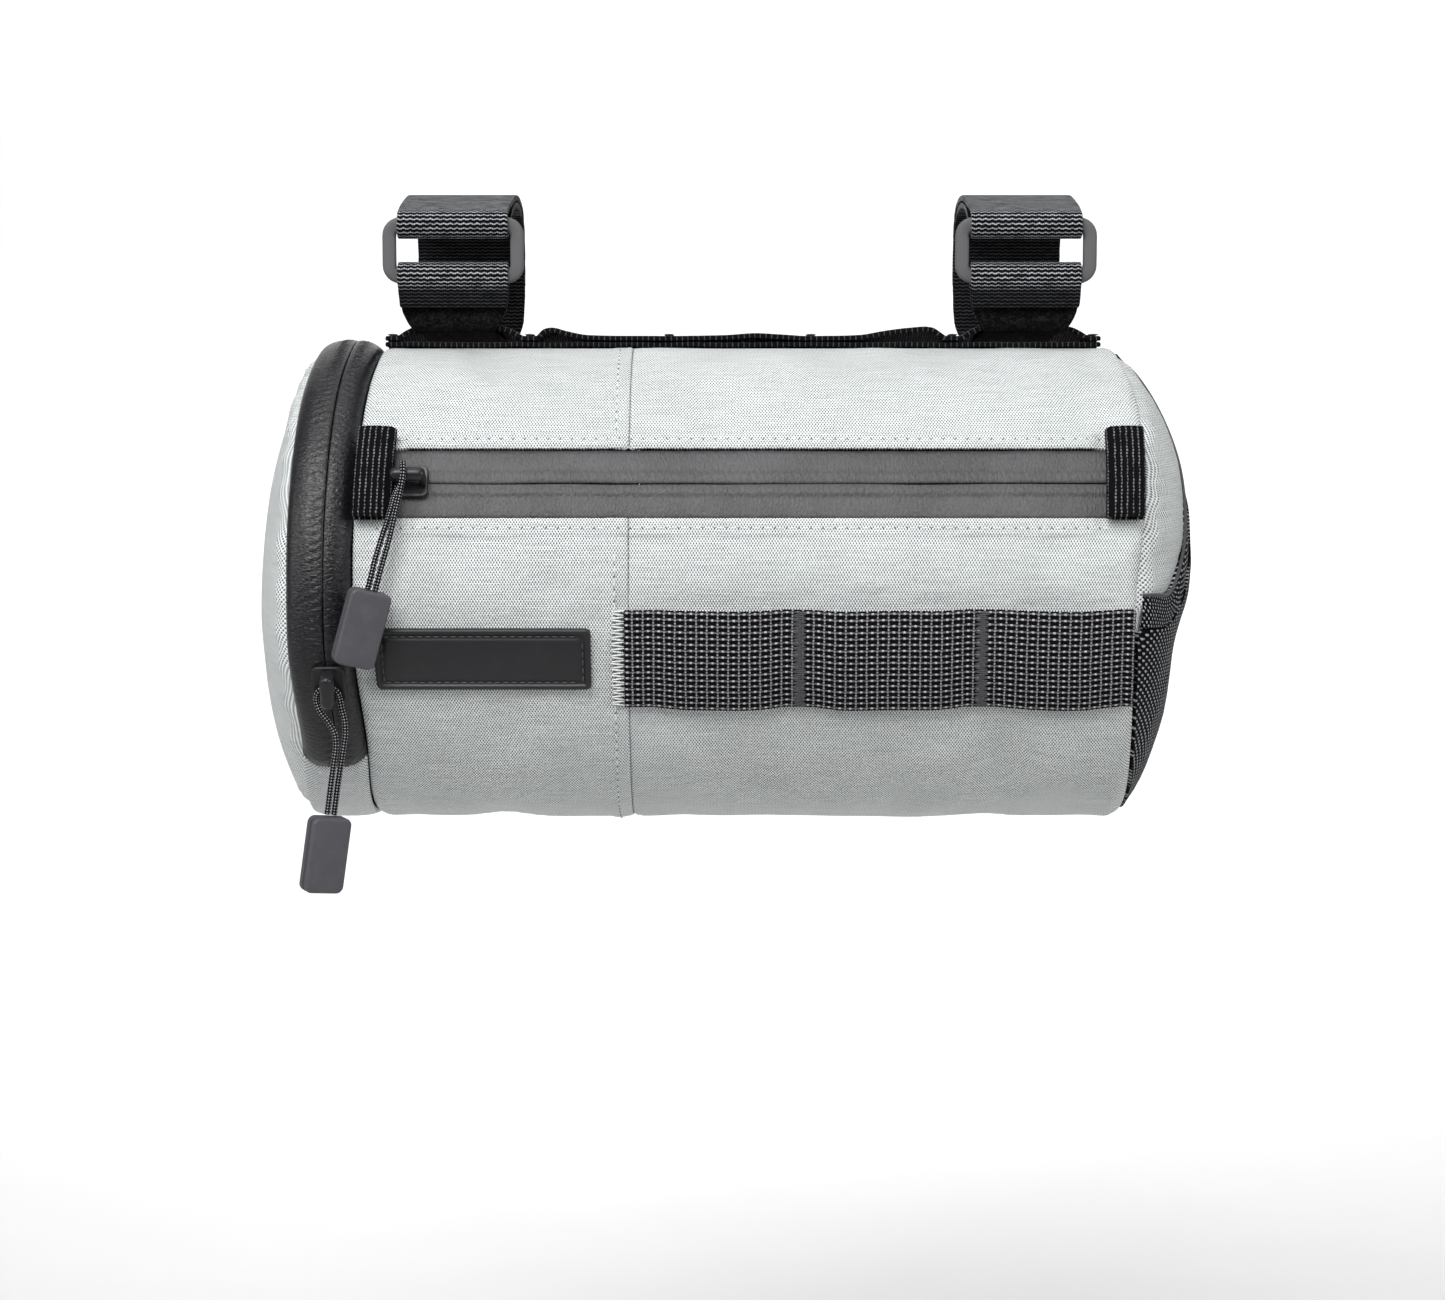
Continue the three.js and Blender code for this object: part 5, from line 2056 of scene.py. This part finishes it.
@dataclass(frozen=True)
class EndPanel:
    """Cloth of a domed end."""

    dome: Dome
    pocket: SidePocket | None = None
    wall: float = 2.0
    gathers: int = 32
    # How far the pocket presses the cloth in
    pressed: float = 1.0
    # Shares of the radius at which the cloth has points
    shares: Sequence[float] = (
        0.0, 0.06, 0.14, 0.22, 0.3, 0.38, 0.46, 0.54, 0.61, 0.68, 0.74, 0.8, 0.85, 0.89, 0.925, 0.955,
        0.975, 0.99, 1.0)

    def covered(self, back: float, up: float) -> float:
        """Tells how far the pocket holds the cloth down, from its mouth on.

        Args:
            back: Distance behind the barrel's axis.
            up: Height over the barrel's axis.

        Returns:
            A share from 0 to 1.
        """
        if self.pocket is None:
            return 0.0
        edge = read_curve(self.pocket.mouth, back / self.dome.radius) * self.dome.radius
        over = 1.0 if back > 0 else smooth_step(-2.0, -6.0, up - edge)
        return max(over, smooth_step(-2.0, 2.0, back))

    def flat(self, share: float, angle: float) -> tuple[float, float]:
        """Place on the end at a share of its radius, as back and up."""
        reach = share * self.dome.radius
        return -reach * math.cos(angle * DEGREE), reach * math.sin(angle * DEGREE)

    def on(self, share: float, angle: float, height: float) -> Vector:
        """Point at a height over the plain dome."""
        return self.dome.point(*self.flat(share, angle), height)

    @cached_property
    def settled(self) -> SettledCloth:
        """Lets the cloth of the end settle, held at the seam.

        Returns:
            Its heights.
        """
        return ClothTest(spare=0.02, cap=1.3).run(
            stations(0, 1, 0.0625), stations(0, 360, 5)[::self.way], self.on,
            lambda share, angle: smooth_step(0.93, 1.0, share))

    @property
    def way(self) -> int:
        """Way round in which the cloth faces out."""
        return 1 if self.dome.side is Side.LEFT else -1

    def relief(self, share: float, angle: float) -> float:
        """Height of the cloth over the plain dome.

        Args:
            share: Share of the radius.
            angle: Angle round the end.

        Returns:
            The height in millimetres.
        """
        back, up = self.flat(share, angle)
        spot = Vector((11.0 if self.dome.side is Side.LEFT else 23.0, back, up))
        height = self.settled.at(share, angle) * smooth_step(0.0, 0.1, share)
        height += 0.4 * crumple(spot, 30, 1.7) * smooth_step(1.0, 0.8, share)
        gather = math.sin(angle * self.gathers * DEGREE + 4 * crumple(spot, 22, 2.6))
        height += 0.5 * gather * hump(share, 0.93, 0.055)
        fold = crumple(spot, 14, 8.3)
        height += 0.6 * fold * smooth_step(0.55, 0.9, share) * smooth_step(1.0, 0.95, share)
        height += 0.5 * hump(share, 0.955, 0.022)
        height -= 0.8 * smooth_step(0.972, 1.0, share)
        inside = self.covered(back, up)
        return min(height, height * (1 - inside) - self.pressed * inside)

    def build(self) -> None:
        """Makes the cloth from the middle out to the seam."""
        mesh = cloth_grid(
            self.shares, stations(0, 360, 1.5)[::self.way],
            lambda share, angle: self.on(share, angle, self.relief(share, angle)), self.flat)
        close_seams(mesh)
        word = self.dome.side.word
        piece = make_piece(f"end_panel_{word}_cloth", mesh, LIGHT_FABRIC, [f"end_panel_{word}"])
        thicken(piece, self.wall)


@dataclass(frozen=True)
class LashWebbing:
    """Webbing tacked to the front in three loops."""

    angle: float = -12.2
    width: float = 25.4
    thickness: float = 1.4
    rise: float = 1.3
    start: float = -29.0
    end: float = 99.5
    # Share of its length, then share of the rise
    loops: Rows = (
        (0, 0), (0.05, 0), (0.11, 0.9), (0.17, 1), (0.27, 0.85), (0.32, 0), (0.37, 0), (0.43, 0.9),
        (0.52, 1), (0.62, 0.9), (0.68, 0), (0.73, 0), (0.8, 0.8), (0.9, 0.9), (0.96, 0.2), (1, 0),
    )
    tacks: Sequence[float] = (0.345, 0.705)
    seat: float = 0.3
    tack_width: float = 3.4
    end_tack_width: float = 3.6
    end_tack_pitch: float = 0.78
    thread: float = 0.28

    def bulge(self, x: float) -> float:
        """Share of the rise to which the webbing stands off."""
        share = (x - self.start) / (self.end - self.start)
        return max(0.0, read_curve(self.loops, share))

    def build(self) -> None:
        """Makes the webbing and its tacks."""
        half = self.width / 2 / BARREL.degree

        def place(x: float, angle: float) -> Vector:
            """Point of the webbing.

            Args:
                x: Place along the barrel.
                angle: Angle round the barrel.

            Returns:
                The point in millimetres.
            """
            edge = abs(angle - self.angle) / half
            bulge = self.bulge(x)
            sway = 0.3 * crumple(Vector((x, 4, 4)), 17, 2.9) - 0.35 * bulge
            dent = 0.55 * hump(x, self.end - 2.2, 0.7)
            height = self.seat + bulge * self.rise + self.thickness
            return BARREL.point(x, angle + sway, height - dent - 0.15 * edge**6)

        mesh = cloth_grid(
            stations(self.start, self.end + 0.8, 0.8),
            stations(self.angle - half, self.angle + half, 1.2),
            place,
            lambda x, angle: (x, angle * BARREL.degree),
        )
        piece = make_piece("lash_webbing_strip", mesh, LASH_WEAVE, ["lash_webbing"])
        thicken(piece, self.thickness, soften=0.35)
        dark = bmesh.new()
        for share in self.tacks:
            x = self.start + share * (self.end - self.start)
            self.tack(dark, x, self.tack_width, self.thickness + 0.35, half * 0.97)
        make_piece("lash_webbing_tacks", dark, DARK_THREAD)
        x = self.start - 1.6
        light = bmesh.new()
        self.tack(light, x, self.end_tack_width, 0.62, half, self.end_tack_pitch)
        make_piece("lash_webbing_end_tack", light, LIGHT_THREAD)
        # Painted shade between the end tack's light threads: a darker zigzag set just beneath them
        gap_shade = bmesh.new()
        self.tack(gap_shade, x, self.end_tack_width - 0.4, 0.42, half * 0.98, self.end_tack_pitch)
        make_piece("lash_webbing_end_gap_shade", gap_shade, NEEDLE_HOLE_SHADE)

    def tack(
        self, mesh: Mesh, x: float, width: float, height: float, half: float, pitch: float = 0.5
    ) -> None:
        """Adds a bar tack: a tight zigzag.

        Args:
            mesh: Mesh that takes it.
            x: Middle of the tack.
            width: Width of the zigzag.
            height: Height of the thread over the barrel.
            half: Half of its length as an angle.
            pitch: Distance from one thread to the next.
        """
        count = int(2 * half * BARREL.degree / pitch)
        for k in range(count):
            low = self.angle - half + 2 * half * k / count
            high = self.angle - half + 2 * half * (k + 0.55) / count
            reach = width / 2 * (1 + 0.08 * math.sin(k * 2.7))
            start, end = (x - reach, x + reach) if k % 2 else (x + reach, x - reach)
            add_stitch(mesh, BARREL.point(start, low, height), BARREL.point(end, high, height), self.thread)


@dataclass(frozen=True)
class LabelPatch:
    """Bare rubber patch with a raised rim and a sewn border."""

    x: float = -64.3
    angle: float = -12.2
    length: float = 54.0
    width: float = 16.0
    thickness: float = 1.1
    corner: float = 1.3
    seat: float = 0.3
    border: float = 2.05
    pitch: float = 2.1
    thread: float = 0.25
    # Distances from the edge at which the patch has points
    near: Sequence[float] = (0.0, 0.12, 0.35, 0.7, 1.15, 1.4, 1.65, 2.0, 2.4, 2.75, 3.1, 3.6)
    # Distance from the edge, then height over the patch's face
    relief: Rows = (
        (0.0, -0.4), (0.12, 0.0), (0.35, 0.36), (0.7, 0.52), (1.15, 0.5), (1.4, 0.3), (1.65, -0.12),
        (2.4, -0.16), (2.75, 0.0), (3.1, 0.14), (3.6, 0.16))

    def build(self) -> None:
        """Makes the patch and its stitches."""
        self.patch()
        self.threads()

    def patch(self) -> None:
        """Makes the patch."""
        half, end = self.width / 2, self.length / 2

        def place(x: float, u: float) -> Vector:
            """Point of the patch, whose corners are rounded.

            Args:
                x: Distance to the right of its middle.
                u: Distance above its middle.

            Returns:
                The point in millimetres.
            """
            out = Vector((max(0.0, abs(x) - end + self.corner), max(0.0, abs(u) - half + self.corner)))
            reach = max(out)
            inside = min(end - abs(x), half - abs(u))
            if out.x > 0 and out.y > 0:
                out = out.normalized() * reach
                x = math.copysign(end - self.corner + out.x, x)
                u = math.copysign(half - self.corner + out.y, u)
            return self.on(x, u, read_curve(self.relief, inside))

        mesh = cloth_grid(
            graded(-end, end, self.near, 1.4, 1.6), graded(-half, half, self.near, 1.2, 1.4),
            place, lambda x, u: (x, u))
        piece = make_piece("label_patch_moulding", mesh, LABEL_RUBBER, ["label_patch"])
        thicken(piece, self.thickness - 0.1)

    def threads(self) -> None:
        """Sews the border along the groove inside the rim."""
        threads = bmesh.new()
        half, end = self.width / 2 - self.border, self.length / 2 - self.border
        for u in (-half, half):
            def level(distance: float) -> Vector:
                """Point along a level row."""
                return self.on(distance - end, u)
            stitch_line(threads, level, 2 * end, self.pitch, self.thread)
        for x in (-end, end):
            def upright(distance: float) -> Vector:
                """Point along an upright row."""
                return self.on(x, distance - half)
            stitch_line(threads, upright, 2 * half, self.pitch, self.thread)
        make_piece("label_patch_threads", threads, DARK_THREAD)

    def on(self, x: float, u: float, height: float = 0.0) -> Vector:
        """Point on the patch's plain face, or at a height over it."""
        height += self.thickness + self.seat
        return BARREL.point(self.x + x, self.angle + u / BARREL.degree, height)


@dataclass(frozen=True)
class DaisyChain:
    """Two layers of webbing along the top, sewn into five loops."""

    x: float = 0.5
    angle: float = 101.5
    width: float = 25.0
    thickness: float = 1.2
    pitch: float = 38.1
    overhang: float = 1.4
    rise: float = 2.5
    seat: float = 2.2
    # Share of the pitch, then share of the rise, for each kind of loop
    strap_loop: Rows = ((0.05, 0), (0.12, 0.65), (0.19, 1), (0.5, 1.04), (0.81, 1), (0.88, 0.65), (0.95, 0))
    left_loop: Rows = ((0.05, 0), (0.1, 0.7), (0.17, 0.88), (0.27, 0.5), (0.42, 0.1), (0.95, 0))
    flat_loop: Rows = ((0.05, 0), (0.4, 0.1), (0.6, 0.3), (0.75, 0.2), (0.95, 0))
    right_loop: Rows = ((0.05, 0), (0.35, 0.12), (0.52, 0.55), (0.7, 0.88), (0.85, 0.92), (0.95, 0))

    tack_reach: float = 1.3
    tack_threads: int = 34
    tack_inset: float = 1.8

    @property
    def half(self) -> float:
        """Half of the width as an angle."""
        return self.width / 2 / BARREL.degree

    @property
    def ends(self) -> tuple[float, float]:
        """Places of the webbing's two ends."""
        reach = 2.5 * self.pitch + self.overhang
        return self.x - reach, self.x + reach

    def lift(self, x: float) -> float:
        """Height of the upper layer over its seat.

        Args:
            x: Place along the barrel.

        Returns:
            The height in millimetres.
        """
        kinds = (self.strap_loop, self.left_loop, self.flat_loop, self.right_loop, self.strap_loop)
        place = (x - self.x + 2.5 * self.pitch) / self.pitch
        k = min(4, max(0, int(place)))
        return max(0.0, read_curve(kinds[k], place - k)) * self.rise

    def build(self) -> None:
        """Makes both layers and their tacks."""
        self.layer("daisy_base", 1.0, lambda x: 0.35 + 0.25 * crumple(Vector((x, 7, 2)), 9, 3.7))
        self.layer("daisy_loops", 0.4, lambda x: self.seat - 0.2 + self.lift(x))
        self.tacks()

    def layer(self, name: str, waviness: float, height: Callable[[float], float]) -> None:
        """Makes one layer.

        Args:
            name: Node that it replaces.
            waviness: Share to which its front edge waves.
            height: Gives the height of its underside at a place along the barrel.
        """
        def place(x: float, angle: float) -> Vector:
            """Point of the layer.

            Args:
                x: Place along the barrel.
                angle: Angle round the barrel.

            Returns:
                The point in millimetres.
            """
            edge = (self.angle - angle) / self.half
            wave = 1.2 * crumple(Vector((x, 2, 2)), 15, 0.7) + 0.8 * hump(abs(x), 75, 13)
            fray = 0.15 * math.sin(x * 4.2) * smooth_step(0.8, 1.0, edge)
            fall = wave * waviness * smooth_step(0.2, 1.0, edge) + fray
            return BARREL.point(x, angle - fall, height(x) + self.thickness - 0.12 * edge**6)

        mesh = cloth_grid(
            stations(*self.ends, 0.5), stations(self.angle - self.half, self.angle + self.half, 1.6),
            place, lambda x, angle: (x, angle * BARREL.degree))
        piece = make_piece(f"{name}_webbing", mesh, DAISY_WEAVE, [name])
        thicken(piece, self.thickness, soften=0.35)

    def tacks(self) -> None:
        """Sews six rows of zigzag across both layers."""
        mesh = bmesh.new()
        start, end = self.ends
        height = self.seat + self.thickness + 0.12
        for k in range(6):
            x = self.x + (k - 2.5) * self.pitch
            x = min(end - self.tack_inset, max(start + self.tack_inset, x))
            for j in range(self.tack_threads):
                low = self.angle - self.half * 0.94 + 1.88 * self.half * j / self.tack_threads
                reach = self.tack_reach if j % 2 else -self.tack_reach
                first = BARREL.point(x - reach, low, height)
                add_stitch(mesh, first, BARREL.point(x + reach, low + 0.45, height), 0.24)
        make_piece("daisy_tacks", mesh, DARK_THREAD)


@dataclass(frozen=True)
class Turn:
    """Circle that a strap runs round: 1 turns left and -1 right, radius 0 is a point."""

    y: float
    z: float
    radius: float
    way: int


@dataclass(frozen=True)
class Strap:
    """Hook-and-loop strap that runs round the bar and through its ring."""

    side: Side
    x: float = 75.3
    width: float = 29.0
    thickness: float = 1.6
    gap: float = 0.3
    corner: float = 3.0
    skew: float = 2.4
    bar: float = 14.0
    ring_y: float = -18.0
    ring_upper: float = 10.0
    ring_lower: float = -3.6
    ring_bar: float = 3.8
    flap: float = 8.0
    tail: float = 7.0
    # Thickness that the daisy webbing's two layers take up
    layers: float = 3.2
    # Length of a piece of the route, at a turn and at most
    step: float = 1.2
    longest: float = 1.6
    # Height over the seat on the bag, then the share of the width
    widths: Rows = ((0, 0.72), (2.5, 0.86), (6, 0.96), (13, 1))

    @property
    def seat(self) -> float:
        """Radius of the centre line where the strap lies on the bag."""
        return BARREL.radius + 2 * self.gap + self.layers + self.thickness / 2

    def turns(self) -> list[Turn]:
        """Works out the circles of the strap's route.

        Returns:
            The circles, from the flap to the tail.
        """
        half = self.thickness / 2
        wrap = self.ring_bar / 2 + self.gap + half
        inner = self.bar + self.gap + half
        outer = inner + self.thickness + self.gap
        front = self.ring_y + wrap - 1.9
        reach = self.seat + self.corner + 0.05

        def corner_z(y: float) -> float:
            """Height of a corner's middle over the bag."""
            return BARREL.axis_z + math.sqrt(reach**2 - (y - BARREL.axis_y) ** 2)

        return [
            Turn(front - self.thickness - 0.5, self.ring_lower - self.flap, 0, 1),
            Turn(self.ring_y, self.ring_lower, wrap, -1),
            Turn(front + self.corner, corner_z(front + self.corner), self.corner, 1),
            Turn(BARREL.axis_y, BARREL.axis_z, self.seat, -1),
            Turn(inner - self.corner, corner_z(inner - self.corner), self.corner, 1),
            Turn(0, 0, inner, 1),
            Turn(self.ring_y, self.ring_upper, wrap, -1),
            Turn(0, 0, outer, -1),
            Turn(outer, -self.tail, 0, 1),
        ]

    @staticmethod
    def headings(turns: Sequence[Turn]) -> list[float]:
        """Works out the straight stretches between the circles.

        Args:
            turns: The circles.

        Returns:
            The direction of each stretch as an angle.
        """
        headings = []
        for start, end in zip(turns, turns[1:]):
            distance = math.hypot(end.y - start.y, end.z - start.z)
            slant = (end.radius * end.way - start.radius * start.way) / distance
            headings.append(math.atan2(end.z - start.z, end.y - start.y) - math.asin(slant))
        return headings

    def between(self, start: Sequence[float], end: Sequence[float]) -> list[tuple[float, float]]:
        """Points on the straight stretch between two points, if it is a long one."""
        count = math.ceil(math.dist(start, end) / self.step) if math.dist(start, end) > self.longest else 1
        return [tuple(a + (b - a) * j / count for a, b in zip(start, end)) for j in range(1, count)]

    def route(self) -> list[tuple[float, float]]:
        """Works out the strap's centre line, as a belt runs round its circles.

        Returns:
            Its points, each back and up.
        """
        turns = self.turns()
        headings = self.headings(turns)
        points: list[tuple[float, float]] = []
        for k, circle in enumerate(turns):
            heading, following = headings[max(0, k - 1)], headings[min(k, len(headings) - 1)]
            swing = ((following - heading) * circle.way) % (2 * math.pi) if circle.radius else 0.0
            steps = max(1, math.ceil(swing / min(9 * DEGREE, self.step / max(circle.radius, 1))))
            for s in range(steps + 1 if swing else 1):
                at = heading + circle.way * swing * s / steps
                reach = circle.radius * circle.way
                spot = (circle.y + reach * math.sin(at), circle.z - reach * math.cos(at))
                if points:
                    points += self.between(points[-1], spot)
                points.append(spot)
        return points

    def build(self) -> None:
        """Makes the strap, ribbed on one face and pile on the other."""
        route = self.route()
        lengths = distances(route)
        bottom = min(z for _, z in route)
        inner = self.bar + self.gap + self.thickness / 2
        sign = self.side.value

        def place(edge: float, k: float) -> Vector:
            """Point of the strap.

            Args:
                edge: Place across it, from -1 to 1.
                k: Number of the point on its route.

            Returns:
                The point in millimetres.
            """
            y, z = route[int(k)]
            under = self.seat**2 - (y - BARREL.axis_y) ** 2
            seat_z = max(bottom, BARREL.axis_z + math.sqrt(max(0.0, under)))
            share = read_curve(self.widths, max(0.0, z - seat_z))
            slide = -sign * self.skew * smooth_step(self.ring_y, inner, y)
            fray = 0.12 * crumple(Vector((lengths[int(k)], edge * 3, sign * 7)), 2.2, 4.1) * abs(edge) ** 8
            return Vector((sign * self.x + slide + edge * (share * self.width / 2 + fray), y, z))

        mesh = cloth_grid(
            stations(-1, 1, 0.1), [float(k) for k in range(len(route))], place,
            lambda edge, k: (edge * self.width / 2, lengths[int(k)]))
        piece = make_piece(f"strap_{self.side.word}_webbing", mesh, STRAP_RIBS, [f"strap_{self.side.word}"])
        piece.data.materials.append(STRAP_PILE.material())
        thicken(piece, self.thickness, offset=0.0, soften=0.35)
        piece.modifiers["thickness"].material_offset = 1
        self.stitches(route[0])

    def stitches(self, end: tuple[float, float]) -> None:
        """Sews the flap's edge.

        Args:
            end: Back and up of the flap's end on its centre line.
        """
        mesh = bmesh.new()
        half = self.width / 2 - 1.5
        middle = self.side.value * self.x

        def line(distance: float) -> Vector:
            """Point along the row."""
            return Vector((middle - half + distance, end[0] - self.thickness / 2 - 0.05, end[1] + 1.1))

        stitch_line(mesh, line, 2 * half, 1.5, 0.2)
        make_piece(f"strap_{self.side.word}_threads", mesh, FLAP_THREAD)


@dataclass(frozen=True)
class Ring:
    """Moulded rectangular ring that a strap cinches through."""

    side: Side
    x: float = 75.3
    y: float = -18.0
    upper: float = 10.0
    lower: float = -3.6
    strap: float = 29.0
    clearance: float = 0.5
    bar: float = 3.8
    side_bar: float = 3.6
    thickness: float = 3.6
    corner: float = 3.0
    # 1 makes the bars round, and less makes them square
    roundness: float = 0.55

    def centre_line(self) -> list[tuple[Vector, Vector]]:
        """Works out the centre line of the ring's bars.

        Returns:
            Points round the ring's middle, each with its outward direction.
        """
        half_x = self.strap / 2 + self.clearance + self.side_bar / 2 - self.corner
        half_z = (self.upper - self.lower) / 2 - self.corner
        line: list[tuple[Vector, Vector]] = []
        for sx, sz, first in ((1, 1, 0), (-1, 1, 90), (-1, -1, 180), (1, -1, 270)):
            for angle in stations(first, first + 90, 15):
                out = Vector((math.cos(angle * DEGREE), 0, math.sin(angle * DEGREE)))
                line.append((Vector((sx * half_x, 0, sz * half_z)) + out * self.corner, out))
        return line

    def build(self) -> None:
        """Sweeps a rounded section round the ring."""
        line = self.centre_line()
        line.append(line[0])
        middle = Vector((self.side.value * self.x, self.y, (self.upper + self.lower) / 2))

        def place(angle: float, k: float) -> Vector:
            """Point of the ring.

            Args:
                angle: Angle round the section.
                k: Number of the point on the centre line.

            Returns:
                The point in millimetres.
            """
            spot, out = line[int(k)]
            c, s = math.cos(angle * DEGREE), math.sin(angle * DEGREE)
            bar = self.side_bar + (self.bar - self.side_bar) * abs(out.z)
            reach = math.copysign(abs(c) ** self.roundness, c) * bar / 2
            depth = math.copysign(abs(s) ** self.roundness, s) * self.thickness / 2
            return middle + spot + out * reach + Vector((0, depth, 0))

        mesh = cloth_grid(
            stations(0, 360, 15), [float(k) for k in range(len(line))], place, lambda a, k: (a / 30, k))
        close_seams(mesh)
        bmesh.ops.recalc_face_normals(mesh, faces=mesh.faces)
        name = f"buckle_{self.side.word}"
        make_piece(f"{name}_moulding", mesh, RING_PLASTIC, [name])


def main() -> None:
    """Builds the scene and the pieces of the bag in order."""
    logging.basicConfig(level=logging.INFO, format="%(message)s")
    Studio().build()
    for cord, tab in ((FRONT_CORD, FRONT_TAB), (SIDE_CORD, SIDE_TAB)):
        tab.build()
        cord.build()
    ZipSlider("front_zip_slider", -83.1, BARREL.zip_angle, -0.7, 0).build()
    ZipSlider("side_zip_slider", -103.0, -17.5, 2.3, 90).build()
    BodyPanels().build()
    FrontZip().build()
    ZipTabs().build()
    SideZip().build()
    pocket = SidePocket()
    EndPanel(LEFT_DOME).build()
    EndPanel(RIGHT_DOME, pocket).build()
    pocket.build()
    LashWebbing().build()
    LabelPatch().build()
    DaisyChain().build()
    for side in Side:
        Strap(side).build()
        Ring(side).build()
    boxes = {"cad": CAD_BOX, "visual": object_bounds()}
    sizes = {name: [list(corner) for corner in box] for name, box in boxes.items()}
    LOG.info("sizes %s", sizes)


if __name__ == "__main__":
    main()
